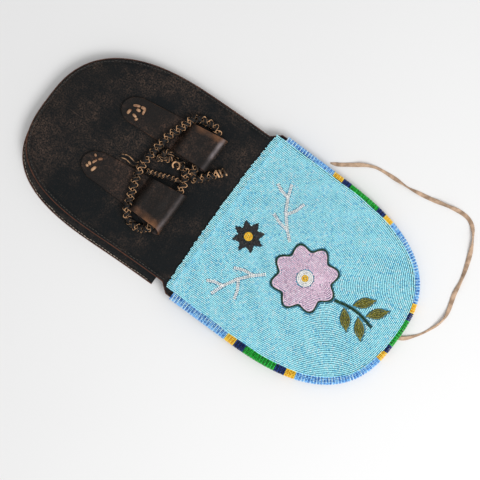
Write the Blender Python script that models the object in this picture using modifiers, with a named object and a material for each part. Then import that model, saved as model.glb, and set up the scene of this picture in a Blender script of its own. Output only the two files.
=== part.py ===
"""Beaded belt pouch, lying open on its front with the flap folded out beside it.

The leather pouch lies towards -X, with its belt loops on top, and the beaded flap
towards +X, beads up. The flap turns about the fold between them, along Y. Metres, +Z up.
"""

import math

import bmesh
import bpy

mm = 0.001

# Clearances
piece_gap = 0.3 * mm  # between pieces that touch on the real pouch
cut_overrun = 2.0 * mm  # how far a cutter runs past what it cuts

# Leather body
leather = 2.2 * mm
pouch_thickness = 13.0 * mm
body_length = 211.0 * mm
back_half_width = 90.5 * mm
front_half_width = 92.5 * mm
front_setback = 17.0 * mm  # the mouth edge of the front panel stops short of the fold
front_shift = -7.5 * mm  # the front panel has slid to one side
body_lean = -13.0 * mm  # the hand-cut outline drifts sideways by this at its end
body_centre = 2.0 * mm
body_round_length = 131.0 * mm  # the part of the outline that curves in
gusset_wall = 2.0 * mm
gusset_inset = 2.6 * mm
seam_inset = 4.6 * mm
seam_thread = 0.9 * mm
seam_groove = 2.1 * mm

# Flap
flap_length = 215.5 * mm
flap_half_width = 100.8 * mm
flap_centre = 2.3 * mm
flap_round_length = 147.0 * mm
fold_gap = 0.3 * mm
backing_cloth = 0.6 * mm
bead = 1.6 * mm
border_width = 8.0 * mm
border_wall = 1.7 * mm  # one bead thick, all round the edge
border_under = 4.5 * mm  # how far the edge beads reach under the flap
border_start = 6.0 * mm
border_joint = 0.3 * mm

# Belt loops
loop_tip_x = -146.4 * mm
loop_fold_x = -39.0 * mm
loop_ramp_x = -78.5 * mm
loop_ramp_length = 7.0 * mm
loop_foot_end_x = -71.0 * mm
loop_tip_width = 27.0 * mm
loop_fold_width = {"left": 44.0 * mm, "right": 37.5 * mm}
tunnel_height = 8.6 * mm
loop_tip_y = {"left": -35.2 * mm, "right": 32.0 * mm}
loop_fold_y = {"left": -27.4 * mm, "right": 44.0 * mm}
lace = 2.0 * mm
lace_hole = 2.9 * mm
lace_pitch_x = 5.0 * mm
lace_pitch_y = 7.6 * mm
lace_first_x = 6.0 * mm  # from the strap's tip
foot_thread = 1.6 * mm
foot_hole = 2.8 * mm
foot_pitch = 9.0 * mm
foot_row_inset = 6.0 * mm

# Braided cord through the belt loops
braid = 7.0 * mm
inner_braid = 4.6 * mm
loose_strand = 2.4 * mm
knot_size = (15.5 * mm, 13.5 * mm, 10.5 * mm)
knot_x = -79.3 * mm
knot_y = 15.4 * mm
cord_slope_share = 0.35  # rise over run where the braid climbs onto a strap

# Tie thong
thong_width = 4.0 * mm
thong_thick = 1.1 * mm
anchor_size = (10.0 * mm, 9.0 * mm)
anchor_height = 4.0 * mm
anchor_inset = 14.0 * mm  # from the flap's tip
anchor_y = 5.0 * mm

# Rows of the bead field: a groove lies along every tenth row
row_pitch = 1.7 * mm
row_groove = 0.7 * mm
rows_between_grooves = 10

# Rolled edge beadwork
border_step = 8.0 * mm
border_crown = 0.4 * mm
border_round = 1.2 * mm

# Figures in the beadwork: sizes as shares of the flap's length, widths in beads
figure_y = -1.0 * mm
blossom_x_share = 0.479
blossom_radius_share = 0.138
blossom_edge = 2.4 * mm
blossom_lobes = 8
lobe_share = 0.12
heart_radius_share = 0.039
eye_radius_share = 0.0166
stem_width = 3.0 * mm
stem_length_share = 0.212
stem_bow_share = 0.0184
leaf_length_share = 0.115
leaf_width_share = 0.048
leaf_heading = 48
star_x_share = 0.152
star_radius_share = 0.078
star_inner_share = 0.62
star_tips = 8
star_heart_share = 0.021
twig_width = 2.4 * mm
twig_length_share = 0.212
twig_spring_shares = (0.3226, 0.092)  # where a twig springs, along and beside the flap

# Shape numbers of the round ends: powers of the two terms of a superellipse
body_powers_shares = (2.6, 2.8)
flap_powers_shares = (2.7, 2.7)

# Counts of steps, and how finely a made mesh is merged
circle_steps = 20
small_circle_steps = 12
lobe_steps = 8
stem_steps = 8
lace_rows = 4
foot_holes = 4
weld_distance = 0.01 * mm

# Worked out from the sizes above
edge_cover = border_wall + piece_gap  # of edge beads, beside the flap leather and under it
panel_top = pouch_thickness
axis_z = (panel_top - leather - edge_cover - piece_gap) / 2
flap_inner = panel_top - leather - axis_z
leather_top = flap_inner + leather
backing_bottom = leather_top + piece_gap
bead_bottom = backing_bottom + backing_cloth + piece_gap
bead_top = bead_bottom + bead
anchor_x = flap_length - anchor_inset
tip_drop = axis_z + flap_inner - anchor_height - piece_gap
flap_slope = math.asin(tip_drop / (anchor_x + anchor_size[0] / 2))


def remove_everything():
    for old in list(bpy.data.objects):
        bpy.data.objects.remove(old, do_unlink=True)


def collection(name):
    made = bpy.data.collections.new(name)
    bpy.context.scene.collection.children.link(made)
    return made


remove_everything()
pouch_parts = collection("beaded_belt_pouch")
cutters = collection("cutters")
cutters.hide_render = True


def material(name, colour, roughness):
    made = bpy.data.materials.new(name)
    made.use_nodes = True
    shader = made.node_tree.nodes["Principled BSDF"]
    shader.inputs["Base Color"].default_value = (*colour, 1.0)
    shader.inputs["Roughness"].default_value = roughness
    shader.inputs["Metallic"].default_value = 0.0
    made.diffuse_color = (*colour, 1.0)
    return made


LEATHER_COLOUR = (0.028, 0.016, 0.011)
STRAP_COLOUR = (0.045, 0.022, 0.014)
RAWHIDE_COLOUR = (0.33, 0.17, 0.07)
THREAD_COLOUR = (0.05, 0.035, 0.025)
CLOTH_COLOUR = (0.30, 0.26, 0.20)
BEAD_COLOURS = {
    "turquoise": (0.16, 0.58, 0.75),
    "light_blue": (0.12, 0.38, 0.78),
    "gold": (0.83, 0.48, 0.04),
    "navy": (0.005, 0.012, 0.11),
    "green": (0.01, 0.32, 0.03),
    "lavender": (0.58, 0.38, 0.62),
    "dark_green": (0.01, 0.06, 0.02),
    "olive": (0.17, 0.16, 0.02),
    "white": (0.80, 0.80, 0.76),
    "black": (0.01, 0.01, 0.01),
}


def superellipse_half(share, powers):
    """Half width as a share of the full half width, at a share of the round length."""
    first, second = powers
    return max(0.0, 1.0 - share**first) ** (1.0 / second)


def round_share(step, steps):
    """Shares that crowd towards the end, where the outline turns fastest."""
    return math.sin(math.pi / 2 * step / steps)


def rounded_outline(length, round_length, half_width, centre_at, powers, inset, start, steps):
    """Outline of a panel from start to its round end, along one side and back along the other."""
    reach = length - inset
    widest = half_width - inset
    turn = reach - round_length + inset
    straight = [start + (turn - start) * n / steps for n in range(steps)]
    curved = [turn + (reach - turn) * round_share(n, 2 * steps) for n in range(2 * steps + 1)]
    one_side = []
    for x in straight + curved:
        share = max(0.0, (x - turn) / (reach - turn))
        one_side.append((x, widest * superellipse_half(share, powers)))
    upper = [(x, centre_at(x) + w) for x, w in one_side]
    lower = [(x, centre_at(x) - w) for x, w in one_side]
    return upper + lower[-2::-1]


def lean_at(x):
    return body_lean * (x / body_length) ** 2


def body_outline(half_width, shift, inset, start, steps=10):
    """The leather body's outline runs towards -X, so it is mirrored from the formula."""
    made = rounded_outline(
        body_length,
        body_round_length,
        half_width,
        lambda x: body_centre + shift + lean_at(x),
        body_powers_shares,
        inset,
        start,
        steps,
    )
    return [(-x, y) for x, y in made]


def flap_outline(inset, start, steps=10):
    return rounded_outline(
        flap_length,
        flap_round_length,
        flap_half_width,
        lambda x: flap_centre,
        flap_powers_shares,
        inset,
        start,
        steps,
    )


front_outline = body_outline(front_half_width, front_shift, 0, front_setback)
low_y = min(y for _, y in front_outline)
high_y = flap_centre + flap_half_width
tip_x = flap_length * math.cos(flap_slope) + (bead_top - border_wall) * math.sin(flap_slope)
middle_x = (tip_x - body_length) / 2

pouch_frame = bpy.data.objects.new("pouch_frame", None)
pouch_frame.location = (-middle_x, -(low_y + high_y) / 2, 0)
flap_hinge = bpy.data.objects.new("flap_hinge", None)
flap_hinge.location = (0, 0, axis_z)
flap_hinge.rotation_euler = (0, flap_slope, 0)
flap_hinge.parent = pouch_frame
for empty in (pouch_frame, flap_hinge):
    pouch_parts.objects.link(empty)


def place(made, home, carrier, finish):
    for old_home in list(made.users_collection):
        old_home.objects.unlink(made)
    home.objects.link(made)
    made.parent = carrier
    if finish:
        made.data.materials.append(finish)
    return made


def as_mesh(curve_object, flat_angle=0.001):
    """The same object as a mesh with its caps welded on, and each flat face in one piece."""
    bpy.context.view_layer.update()
    evaluated = curve_object.evaluated_get(bpy.context.evaluated_depsgraph_get())
    mesh = bpy.data.meshes.new_from_object(evaluated)
    shape = bmesh.new()
    shape.from_mesh(mesh)
    bmesh.ops.remove_doubles(shape, verts=shape.verts, dist=weld_distance)
    bmesh.ops.dissolve_limit(shape, angle_limit=flat_angle, verts=shape.verts, edges=shape.edges)
    bmesh.ops.recalc_face_normals(shape, faces=shape.faces)
    shape.to_mesh(mesh)
    shape.free()
    name, parent = curve_object.name, curve_object.parent
    location, rotation = tuple(curve_object.location), tuple(curve_object.rotation_euler)
    home = curve_object.users_collection[0]
    bpy.data.objects.remove(curve_object, do_unlink=True)
    made = bpy.data.objects.new(name, mesh)
    home.objects.link(made)
    made.parent = parent
    made.location = location
    made.rotation_euler = rotation
    return made


def plate(name, outlines, bottom, thickness, carrier, finish, home=pouch_parts):
    """A flat piece from its outline, and any holes in it, lying at the height bottom."""
    curve = bpy.data.curves.new(name, "CURVE")
    curve.dimensions = "2D"
    curve.fill_mode = "BOTH"
    curve.extrude = thickness / 2
    for outline in outlines:
        spline = curve.splines.new("POLY")
        spline.points.add(len(outline) - 1)
        spline.use_cyclic_u = True
        for point, (x, y) in zip(spline.points, outline):
            point.co = (x, y, 0, 1)
    made = bpy.data.objects.new(name, curve)
    place(made, home, carrier, finish)
    made.location = (0, 0, bottom + thickness / 2)
    return as_mesh(made)


def tube(name, points, diameter, carrier, finish, home=pouch_parts, sides_step=2, closed=False):
    curve = bpy.data.curves.new(name, "CURVE")
    curve.dimensions = "3D"
    curve.bevel_depth = diameter / 2
    curve.bevel_resolution = sides_step
    curve.use_fill_caps = True
    spline = curve.splines.new("POLY")
    spline.points.add(len(points) - 1)
    spline.use_cyclic_u = closed
    for point, place_of in zip(spline.points, points):
        point.co = (*place_of, 1)
    made = bpy.data.objects.new(name, curve)
    place(made, home, carrier, finish)
    return as_mesh(made)


def cut(target, *tools):
    for tool in tools:
        tool.hide_render = True
        tool.display_type = "WIRE"
        modifier = target.modifiers.new("cut " + tool.name, "BOOLEAN")
        modifier.operation = "DIFFERENCE"
        modifier.object = tool


def join(target, *others):
    for other in others:
        other.hide_render = True
        other.display_type = "WIRE"
        modifier = target.modifiers.new("join " + other.name, "BOOLEAN")
        modifier.operation = "UNION"
        modifier.object = other


def drill(name, x, y, bottom, top, diameter):
    bpy.ops.mesh.primitive_cylinder_add(
        vertices=8,
        radius=diameter / 2,
        depth=top - bottom + 2 * cut_overrun,
        location=(x, y, (top + bottom) / 2),
    )
    made = bpy.context.object
    made.name = name
    return place(made, cutters, pouch_frame, None)


def smooth_route(points, per_leg):
    """Points on a Catmull-Rom curve through a cord's own points."""
    ends = [points[0], *points, points[-1]]
    made = []
    for a, b, c, d in zip(ends, ends[1:], ends[2:], ends[3:]):
        for n in range(per_leg):
            t = n / per_leg
            made.append(
                tuple(
                    (2 * q + (r - p) * t + (2 * p - 5 * q + 4 * r - s) * t**2
                     + (3 * q - p - 3 * r + s) * t**3) / 2
                    for p, q, r, s in zip(a, b, c, d)
                )
            )
    return made + [points[-1]]


# Leather body
pouch_leather = material("pouch_leather", LEATHER_COLOUR, 0.6)
strap_leather = material("strap_leather", STRAP_COLOUR, 0.55)
rawhide = material("rawhide_lace", RAWHIDE_COLOUR, 0.7)
thread = material("waxed_thread", THREAD_COLOUR, 0.7)

back_panel = plate(
    "back_panel",
    [body_outline(back_half_width, 0, 0, fold_gap / 2)],
    panel_top - leather,
    leather,
    pouch_frame,
    pouch_leather,
)
front_panel = plate(
    "front_panel",
    [body_outline(front_half_width, front_shift, 0, front_setback)],
    0,
    leather,
    pouch_frame,
    pouch_leather,
)


def lofted_band(name, rings, carrier, finish):
    """A wall between an outline on the front panel and an unlike one on the back panel."""
    shape = bmesh.new()
    rows = [[shape.verts.new(point) for point in ring] for ring in rings]
    for row, following in zip(rows, rows[1:] + rows[:1]):
        for n in range(len(row) - 1):
            shape.faces.new((row[n], row[n + 1], following[n + 1], following[n]))
    shape.faces.new([row[0] for row in rows])
    shape.faces.new([row[-1] for row in reversed(rows)])
    bmesh.ops.recalc_face_normals(shape, faces=shape.faces)
    mesh = bpy.data.meshes.new(name)
    shape.to_mesh(mesh)
    shape.free()
    return place(bpy.data.objects.new(name, mesh), pouch_parts, carrier, finish)


def body_ring(half_width, shift, inset, height):
    outline = body_outline(half_width, shift, inset, front_setback + piece_gap)
    return [(x, y, height) for x, y in outline]


gusset_foot = leather + piece_gap
gusset_head = panel_top - leather - piece_gap
gusset = lofted_band(
    "gusset",
    [
        body_ring(front_half_width, front_shift, gusset_inset, gusset_foot),
        body_ring(back_half_width, 0, gusset_inset, gusset_head),
        body_ring(back_half_width, 0, gusset_inset + gusset_wall, gusset_head),
        body_ring(front_half_width, front_shift, gusset_inset + gusset_wall, gusset_foot),
    ],
    pouch_frame,
    pouch_leather,
)


def seam(name, panel, half_width, shift, start, face, inward):
    """A thread laid in a groove round the panel. Inward is 1 or -1, from the face into it."""
    groove_path = body_outline(half_width, shift, seam_inset, start + seam_inset)
    groove = tube(
        name + "_groove",
        [(x, y, face) for x, y in groove_path],
        seam_groove,
        pouch_frame,
        None,
        cutters,
    )
    cut(panel, groove)
    thread_path = body_outline(half_width, shift, seam_inset, start + seam_inset + seam_groove)
    height = face + inward * (seam_thread / 2 + piece_gap / 6)
    tube(name, [(x, y, height) for x, y in thread_path], seam_thread, pouch_frame, thread)


seam("back_seam_thread", back_panel, back_half_width, 0, 0, panel_top, -1)
seam("front_seam_thread", front_panel, front_half_width, front_shift, front_setback, 0, 1)

# Belt loops
strap_low = panel_top + piece_gap + leather / 2
strap_high = strap_low + leather + tunnel_height
strap_bend = (strap_high - strap_low) / 2
strap_bend_x = loop_fold_x - strap_bend - leather / 2
tip_stations_shares = (0.01, 0.12, 0.35, 0.65, 1.0)  # of the round tip's radius


def strap_centre_line():
    """Places (x, z) along the strap, from its laced tip over the tunnel and back to its foot."""
    flat_part = [
        (loop_tip_x + loop_tip_width / 2 * share, strap_low) for share in tip_stations_shares
    ]
    flat_part.append(((loop_tip_x + loop_ramp_x) / 2, strap_low))
    ramp_steps = 5
    ramp = []
    for n in range(ramp_steps + 1):
        share = n / ramp_steps
        rise = (1 - math.cos(math.pi * share)) / 2
        x = loop_ramp_x + loop_ramp_length * share
        ramp.append((x, strap_low + (strap_high - strap_low) * rise))
    bend_steps = 6
    bend = []
    for n in range(bend_steps + 1):
        turn = math.pi * n / bend_steps
        x = strap_bend_x + strap_bend * math.sin(turn)
        bend.append((x, strap_low + strap_bend * (1 + math.cos(turn))))
    foot_middle = ((strap_bend_x + loop_foot_end_x) / 2, strap_low)
    return flat_part + ramp + bend + [foot_middle, (loop_foot_end_x, strap_low)]


def strap_share(x):
    return (x - loop_tip_x) / (loop_fold_x - loop_tip_x)


def strap_middle_y(side, x):
    return loop_tip_y[side] + (loop_fold_y[side] - loop_tip_y[side]) * strap_share(x)


def strap_half_width(side, x, is_tip):
    straight = (loop_tip_width + (loop_fold_width[side] - loop_tip_width) * strap_share(x)) / 2
    radius = loop_tip_width / 2
    from_tip = x - loop_tip_x
    if is_tip and from_tip < radius:
        return math.sqrt(radius**2 - (radius - from_tip) ** 2)
    return straight


def belt_loop(side):
    """A ribbon one leather thick, bent from a flat grid."""
    places = strap_centre_line()
    shape = bmesh.new()
    bmesh.ops.create_grid(shape, x_segments=len(places) - 1, y_segments=2, size=1)
    for vert in shape.verts:
        station = round((vert.co.x + 1) / 2 * (len(places) - 1))
        across = vert.co.y
        x, z = places[station]
        half = strap_half_width(side, x, station < len(tip_stations_shares))
        vert.co = (x, strap_middle_y(side, x) + across * half, z)
    mesh = bpy.data.meshes.new("belt_loop_" + side)
    shape.to_mesh(mesh)
    shape.free()
    made = bpy.data.objects.new("belt_loop_" + side, mesh)
    place(made, pouch_parts, pouch_frame, strap_leather)
    wall = made.modifiers.new("leather", "SOLIDIFY")
    wall.thickness = leather
    wall.offset = 0
    wall.use_even_offset = True
    return made


def laced_through(name, strap, holes, diameter, hole_diameter, finish):
    """Laces a strap to the back panel: up and down through holes, as one unbroken lace."""
    top = strap_low + leather / 2 + diameter / 2 + piece_gap
    bottom = panel_top - leather - diameter / 2 - piece_gap
    points = []
    for n, (x, y) in enumerate(holes):
        drilled = drill(f"{name}_hole_{n}", x, y, bottom, top, hole_diameter)
        cut(strap, drilled)
        cut(back_panel, drilled)
        ends = [(x, y, bottom), (x, y, top)]
        points += ends if n % 2 == 0 else ends[::-1]
    tube(name, points, diameter, pouch_frame, finish)


for side in ("left", "right"):
    strap = belt_loop(side)
    tip_holes = []
    for n in range(lace_rows):
        x = loop_tip_x + lace_first_x + lace_pitch_x * n
        rows = (-lace_pitch_y / 2, lace_pitch_y / 2)
        for offset in rows if n % 2 == 0 else rows[::-1]:
            tip_holes.append((x, strap_middle_y(side, x) + offset))
    laced_through("lacing_" + side, strap, tip_holes, lace, lace_hole, rawhide)
    foot_x = loop_foot_end_x + foot_row_inset
    first_y = strap_middle_y(side, foot_x) - foot_pitch * (foot_holes - 1) / 2
    foot_places = [(foot_x, first_y + foot_pitch * n) for n in range(foot_holes)]
    laced_through("foot_thread_" + side, strap, foot_places, foot_thread, foot_hole, thread)

# Braided cord, chosen by hand along the photographed route, from the knot to the tail
on_panel = panel_top + piece_gap
strap_climb = strap_low + leather / 2 - panel_top
dark_braid = material("braided_leather", STRAP_COLOUR, 0.6)
BRAID_ROUTE = [
    (-71.0, 15.6), (-66.4, 16.3), (-61.2, 15.9), (-56.6, 13.9), (-53.1, 9.7), (-50.7, 4.4), (-49.0, -1.4),
    (-48.6, -9.0), (-49.0, -18.0), (-49.6, -29.0), (-50.0, -40.0), (-50.6, -49.8), (-53.6, -55.4), (-59.2, -59.2),
    (-66.0, -60.2), (-72.4, -58.4), (-77.2, -55.0), (-80.6, -50.6), (-82.6, -45.2), (-84.8, -39.0), (-87.1, -32.4),
    (-89.5, -26.0), (-91.7, -19.0), (-93.4, -11.5), (-94.3, -4.0), (-94.1, 4.0), (-92.9, 12.0), (-91.9, 20.0),
    (-91.1, 27.5), (-89.4, 34.5), (-86.6, 41.0), (-84.6, 47.0), (-82.8, 53.2), (-80.4, 59.2), (-75.4, 63.8),
    (-68.6, 65.6), (-62.2, 66.6), (-56.4, 65.8), (-51.9, 62.0), (-50.0, 56.0), (-49.8, 49.0), (-50.0, 41.0),
    (-50.0, 33.0), (-50.2, 26.0), (-50.1, 19.8), (-48.8, 15.6), (-45.9, 13.0), (-42.6, 13.4), (-39.3, 17.2),
    (-35.0, 22.6), (-30.9, 27.8), (-27.2, 32.4), (-23.4, 37.0),
]
CROSSING_ROUTE = [
    (-87.0, -8.8), (-79.5, -6.4), (-72.3, -3.8), (-65.5, -1.0), (-59.5, 1.0), (-54.8, 1.8),
]
LOOSE_ROUTE = [
    (-98.4, -7.8), (-101.4, -10.7), (-106.5, -10.2), (-111.5, -9.9), (-117.7, -12.4),
]


def at_height(route, height):
    return [(x * mm, y * mm, height) for x, y in route]


def meets_strap(x, y, reach):
    return any(
        loop_tip_x - reach < x < loop_fold_x + reach
        and abs(y - strap_middle_y(side, x)) < strap_half_width(side, x, False) + reach
        for side in ("left", "right")
    )


def laid_over_straps(points, reach):
    """The same points, raised where the cord crosses a strap, with a slope down on each side."""
    arc = [0.0]
    for here, after in zip(points, points[1:]):
        arc.append(arc[-1] + math.dist(here, after))
    raised = [a for a, (x, y, _) in zip(arc, points) if meets_strap(x, y, reach)]
    made = []
    for a, (x, y, z) in zip(arc, points):
        away = min(abs(a - other) for other in raised)
        made.append((x, y, z + max(0.0, strap_climb - cord_slope_share * away)))
    return made


braid_line = smooth_route(at_height(BRAID_ROUTE, on_panel + braid / 2), 2)
tube("braided_cord", laid_over_straps(braid_line, braid / 2 + piece_gap), braid,
     pouch_frame, dark_braid)
tube("braid_crossing", smooth_route(at_height(CROSSING_ROUTE, on_panel + inner_braid / 2), 3),
     inner_braid, pouch_frame, dark_braid)
tube("braid_loose_ends", smooth_route(at_height(LOOSE_ROUTE, on_panel + loose_strand / 2), 3),
     loose_strand, pouch_frame, dark_braid)

bpy.ops.mesh.primitive_uv_sphere_add(segments=14, ring_count=8, radius=1 / 2)
knot = bpy.context.object
knot.name = "braid_knot"
place(knot, pouch_parts, pouch_frame, dark_braid)
knot.location = (knot_x, knot_y, on_panel + knot_size[2] / 2)
knot.scale = knot_size

# Flap, in its own plane: x runs from the fold to the tip and z up from the hinge axis
field_inset = border_width + piece_gap
plate("flap_leather", [flap_outline(edge_cover, fold_gap / 2)], flap_inner, leather,
      flap_hinge, pouch_leather)
cloth = material("backing_cloth", CLOTH_COLOUR, 0.9)
plate("bead_backing", [flap_outline(field_inset, fold_gap)], backing_bottom, backing_cloth,
      flap_hinge, cloth)
bead_finish = {
    name: material("beads_" + name, colour, 0.3) for name, colour in BEAD_COLOURS.items()
}


def grooved_field(name, outline_at, carrier, finish):
    """The field of beads, with a groove along every tenth row. outline_at(inset) is a row."""
    tops = [(0, bead_bottom), (0, bead_top)]
    for number in range(1, groove_count + 1):
        middle = groove_pitch * number
        tops += [(middle - row_pitch, bead_top), (middle, bead_top - row_groove),
                 (middle + row_pitch, bead_top)]
    shape = bmesh.new()
    rows = [
        [shape.verts.new((x, y, height)) for x, y in outline_at(field_inset + inset)]
        for inset, height in tops
    ]
    for row, following in zip(rows, rows[1:]):
        for n in range(len(row) - 1):
            shape.faces.new((row[n], row[n + 1], following[n + 1], following[n]))
    shape.faces.new(rows[0][::-1])
    shape.faces.new(rows[-1])
    shape.faces.new([row[0] for row in rows] + [row[-1] for row in reversed(rows)])
    bmesh.ops.recalc_face_normals(shape, faces=shape.faces)
    mesh = bpy.data.meshes.new(name)
    shape.to_mesh(mesh)
    shape.free()
    return place(bpy.data.objects.new(name, mesh), pouch_parts, carrier, finish)


groove_pitch = row_pitch * rows_between_grooves
groove_count = int((flap_half_width - field_inset) / groove_pitch)
bead_field = grooved_field("bead_field", lambda inset: flap_outline(inset, fold_gap), flap_hinge,
                           bead_finish["turquoise"])


def inlay(name, outline_at, colour, holes=(), in_field=True):
    """A figure in its own beads, cut out of the field round it. outline_at(grow) is its edge."""
    if in_field:
        cutter = plate(
            name + "_cutter",
            [outline_at(piece_gap)],
            bead_bottom - cut_overrun,
            bead + 2 * cut_overrun,
            flap_hinge,
            None,
            cutters,
        )
        cut(bead_field, cutter)
    outlines = [outline_at(0)] + [hole(piece_gap) for hole in holes]
    return plate(name, outlines, bead_bottom, bead, flap_hinge, bead_finish[colour])


def circle(x, y, radius, points=circle_steps):
    def outline_at(grow):
        turns = [2 * math.pi * n / points for n in range(points)]
        reach = radius + grow
        return [(x + reach * math.cos(t), y + reach * math.sin(t)) for t in turns]

    return outline_at


def rosette(x, y, radius, lobes):
    def outline_at(grow):
        made = []
        points = lobes * lobe_steps
        for n in range(points):
            turn = 2 * math.pi * n / points
            reach = radius * (1 + lobe_share * math.cos(lobes * turn)) + grow
            made.append((x + reach * math.cos(turn), y + reach * math.sin(turn)))
        return made

    return outline_at


def star(x, y, radius, tips):
    def outline_at(grow):
        made = []
        for n in range(2 * tips):
            turn = math.pi * n / tips
            reach = (radius if n % 2 == 0 else radius * star_inner_share) + grow
            made.append((x + reach * math.cos(turn), y + reach * math.sin(turn)))
        return made

    return outline_at


def leaf(x, y, heading, length, width, steps=7):
    """A pointed oval from (x, y) along heading, in degrees."""
    along = (math.cos(math.radians(heading)), math.sin(math.radians(heading)))

    def outline_at(grow):
        stations = [n / steps for n in range(steps + 1)]
        half = [width / 2 * math.sin(math.pi * s) + grow for s in stations]
        reach = [s * (length + 2 * grow) - grow for s in stations]
        left = [(x + r * along[0] - h * along[1], y + r * along[1] + h * along[0])
                for r, h in zip(reach, half)]
        right = [(x + r * along[0] + h * along[1], y + r * along[1] - h * along[0])
                 for r, h in zip(reach, half)]
        return left + right[::-1]

    return outline_at


def ribbon(points, width):
    """A strip of even width along points."""

    def outline_at(grow):
        reach = width / 2 + grow
        left, right = [], []
        for n, (x, y) in enumerate(points):
            before, after = points[max(n - 1, 0)], points[min(n + 1, len(points) - 1)]
            run = math.hypot(after[0] - before[0], after[1] - before[1])
            along = ((after[0] - before[0]) / run, (after[1] - before[1]) / run)
            end = {0: -grow, len(points) - 1: grow}.get(n, 0)
            x, y = x + along[0] * end, y + along[1] * end
            left.append((x - along[1] * reach, y + along[0] * reach))
            right.append((x + along[1] * reach, y - along[0] * reach))
        return left + right[::-1]

    return outline_at


# Figures in the beadwork
blossom_x = blossom_x_share * flap_length
blossom_radius = blossom_radius_share * flap_length
rim_radius = blossom_radius + blossom_edge + piece_gap
petals = rosette(blossom_x, figure_y, blossom_radius, blossom_lobes)
petal_rim = rosette(blossom_x, figure_y, rim_radius, blossom_lobes)
heart = circle(blossom_x, figure_y, heart_radius_share * flap_length)
eye = circle(blossom_x, figure_y, eye_radius_share * flap_length, small_circle_steps)
inlay("blossom_outline", petal_rim, "dark_green", [petals])
inlay("blossom_petals", petals, "lavender", [heart], in_field=False)
inlay("blossom_heart", heart, "white", [eye], in_field=False)
inlay("blossom_eye", eye, "gold", in_field=False)

stem_start = blossom_x + (blossom_radius + blossom_edge) * (1 + lobe_share) + 4 * piece_gap


def stem_at(share):
    return (
        stem_start + stem_length_share * flap_length * share,
        figure_y + stem_bow_share * flap_length * math.sin(math.pi * share),
    )


stem_points = [stem_at(n / stem_steps) for n in range(stem_steps + 1)]
inlay("stem", ribbon(stem_points, stem_width), "dark_green")
leaf_spots_shares = {  # along the stem
    "leaf_near_left": 0.25,
    "leaf_near_right": 0.375,
    "leaf_far_left": 0.625,
    "leaf_far_right": 0.75,
}
leaf_length = leaf_length_share * flap_length
leaf_width = leaf_width_share * flap_length
for name, share in leaf_spots_shares.items():
    way = -1 if name.endswith("left") else 1
    x, y = stem_at(share)
    clear = stem_width / 2 + 4 * piece_gap
    inlay(name, leaf(x, y + way * clear, way * leaf_heading, leaf_length, leaf_width), "olive")

star_x = star_x_share * flap_length
star_edge = star(star_x, figure_y, star_radius_share * flap_length, star_tips)
star_middle = circle(star_x, figure_y, star_heart_share * flap_length, small_circle_steps)
inlay("star", star_edge, "black", [star_middle])
inlay("star_heart", star_middle, "gold", in_field=False)

# A twig's main stroke and side strokes, in twig lengths from where it springs
twig_length = twig_length_share * flap_length
twig_spring_x, twig_spring_y = (share * flap_length for share in twig_spring_shares)
twig_strokes_shares = [
    [(0.0, 0.0), (-0.22, 0.20), (-0.45, 0.46), (-0.62, 0.78), (-0.72, 1.05)],
    [(-0.20, 0.18), (-0.46, 0.22), (-0.66, 0.30)],
    [(-0.43, 0.44), (-0.30, 0.64), (-0.24, 0.86)],
    [(-0.60, 0.76), (-0.82, 0.80), (-0.98, 0.88)],
]
for side, way in (("left", -1), ("right", 1)):
    strokes = []
    for number, shares in enumerate(twig_strokes_shares):
        points = [
            (twig_spring_x + twig_length * u, figure_y + way * (twig_spring_y + twig_length * v))
            for u, v in shares
        ]
        strokes.append(inlay(f"twig_{side}_{number}", ribbon(points, twig_width), "white"))
    twig = strokes[0]
    twig.name = "twig_" + side
    for stroke in strokes[1:]:
        pouch_parts.objects.unlink(stroke)
        cutters.objects.link(stroke)
    join(twig, *strokes[1:])

# Rolled edge beadwork: where each coloured run ends, as a share of the edge from fold to fold
border_runs_shares = [
    ("light_blue", 0.1075), ("gold", 0.129), ("navy", 0.1467), ("green", 0.2131),
    ("navy", 0.2318), ("gold", 0.2514), ("light_blue", 0.4187), ("gold", 0.4383),
    ("navy", 0.4542), ("green", 0.5112), ("navy", 0.5271), ("gold", 0.5458),
    ("light_blue", 0.7224), ("gold", 0.743), ("navy", 0.7645), ("green", 0.8318),
    ("navy", 0.8533), ("gold", 0.8738), ("light_blue", 1.0),
]


def border_section():
    """C-shaped section that wraps the flap's edge: x inwards from the edge, y up."""
    low = flap_inner - piece_gap - border_wall
    under = flap_inner - piece_gap
    over = leather_top + piece_gap
    high = bead_top
    return [
        (border_width, over), (border_width, high), (border_width / 2, high + border_crown),
        (border_round, high - border_crown), (0, high - border_wall), (0, low + border_round),
        (border_round, low), (border_under, low), (border_under, under),
        (border_wall, under), (border_wall, over),
    ]


edge_path = flap_outline(0, border_start, 40)
edge_arc = [0.0]
for (x, y), (u, v) in zip(edge_path, edge_path[1:]):
    edge_arc.append(edge_arc[-1] + math.hypot(u - x, v - y))


def edge_at(distance):
    """The place on the flap's edge that far along it, and the way inwards there."""
    n = 1
    while n < len(edge_arc) - 1 and edge_arc[n] < distance:
        n += 1
    share = (distance - edge_arc[n - 1]) / (edge_arc[n] - edge_arc[n - 1])
    (x, y), (u, v) = edge_path[n - 1], edge_path[n]
    run = math.hypot(u - x, v - y)
    inward = ((v - y) / run, -(u - x) / run)
    return (x + (u - x) * share, y + (v - y) * share), inward


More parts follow.
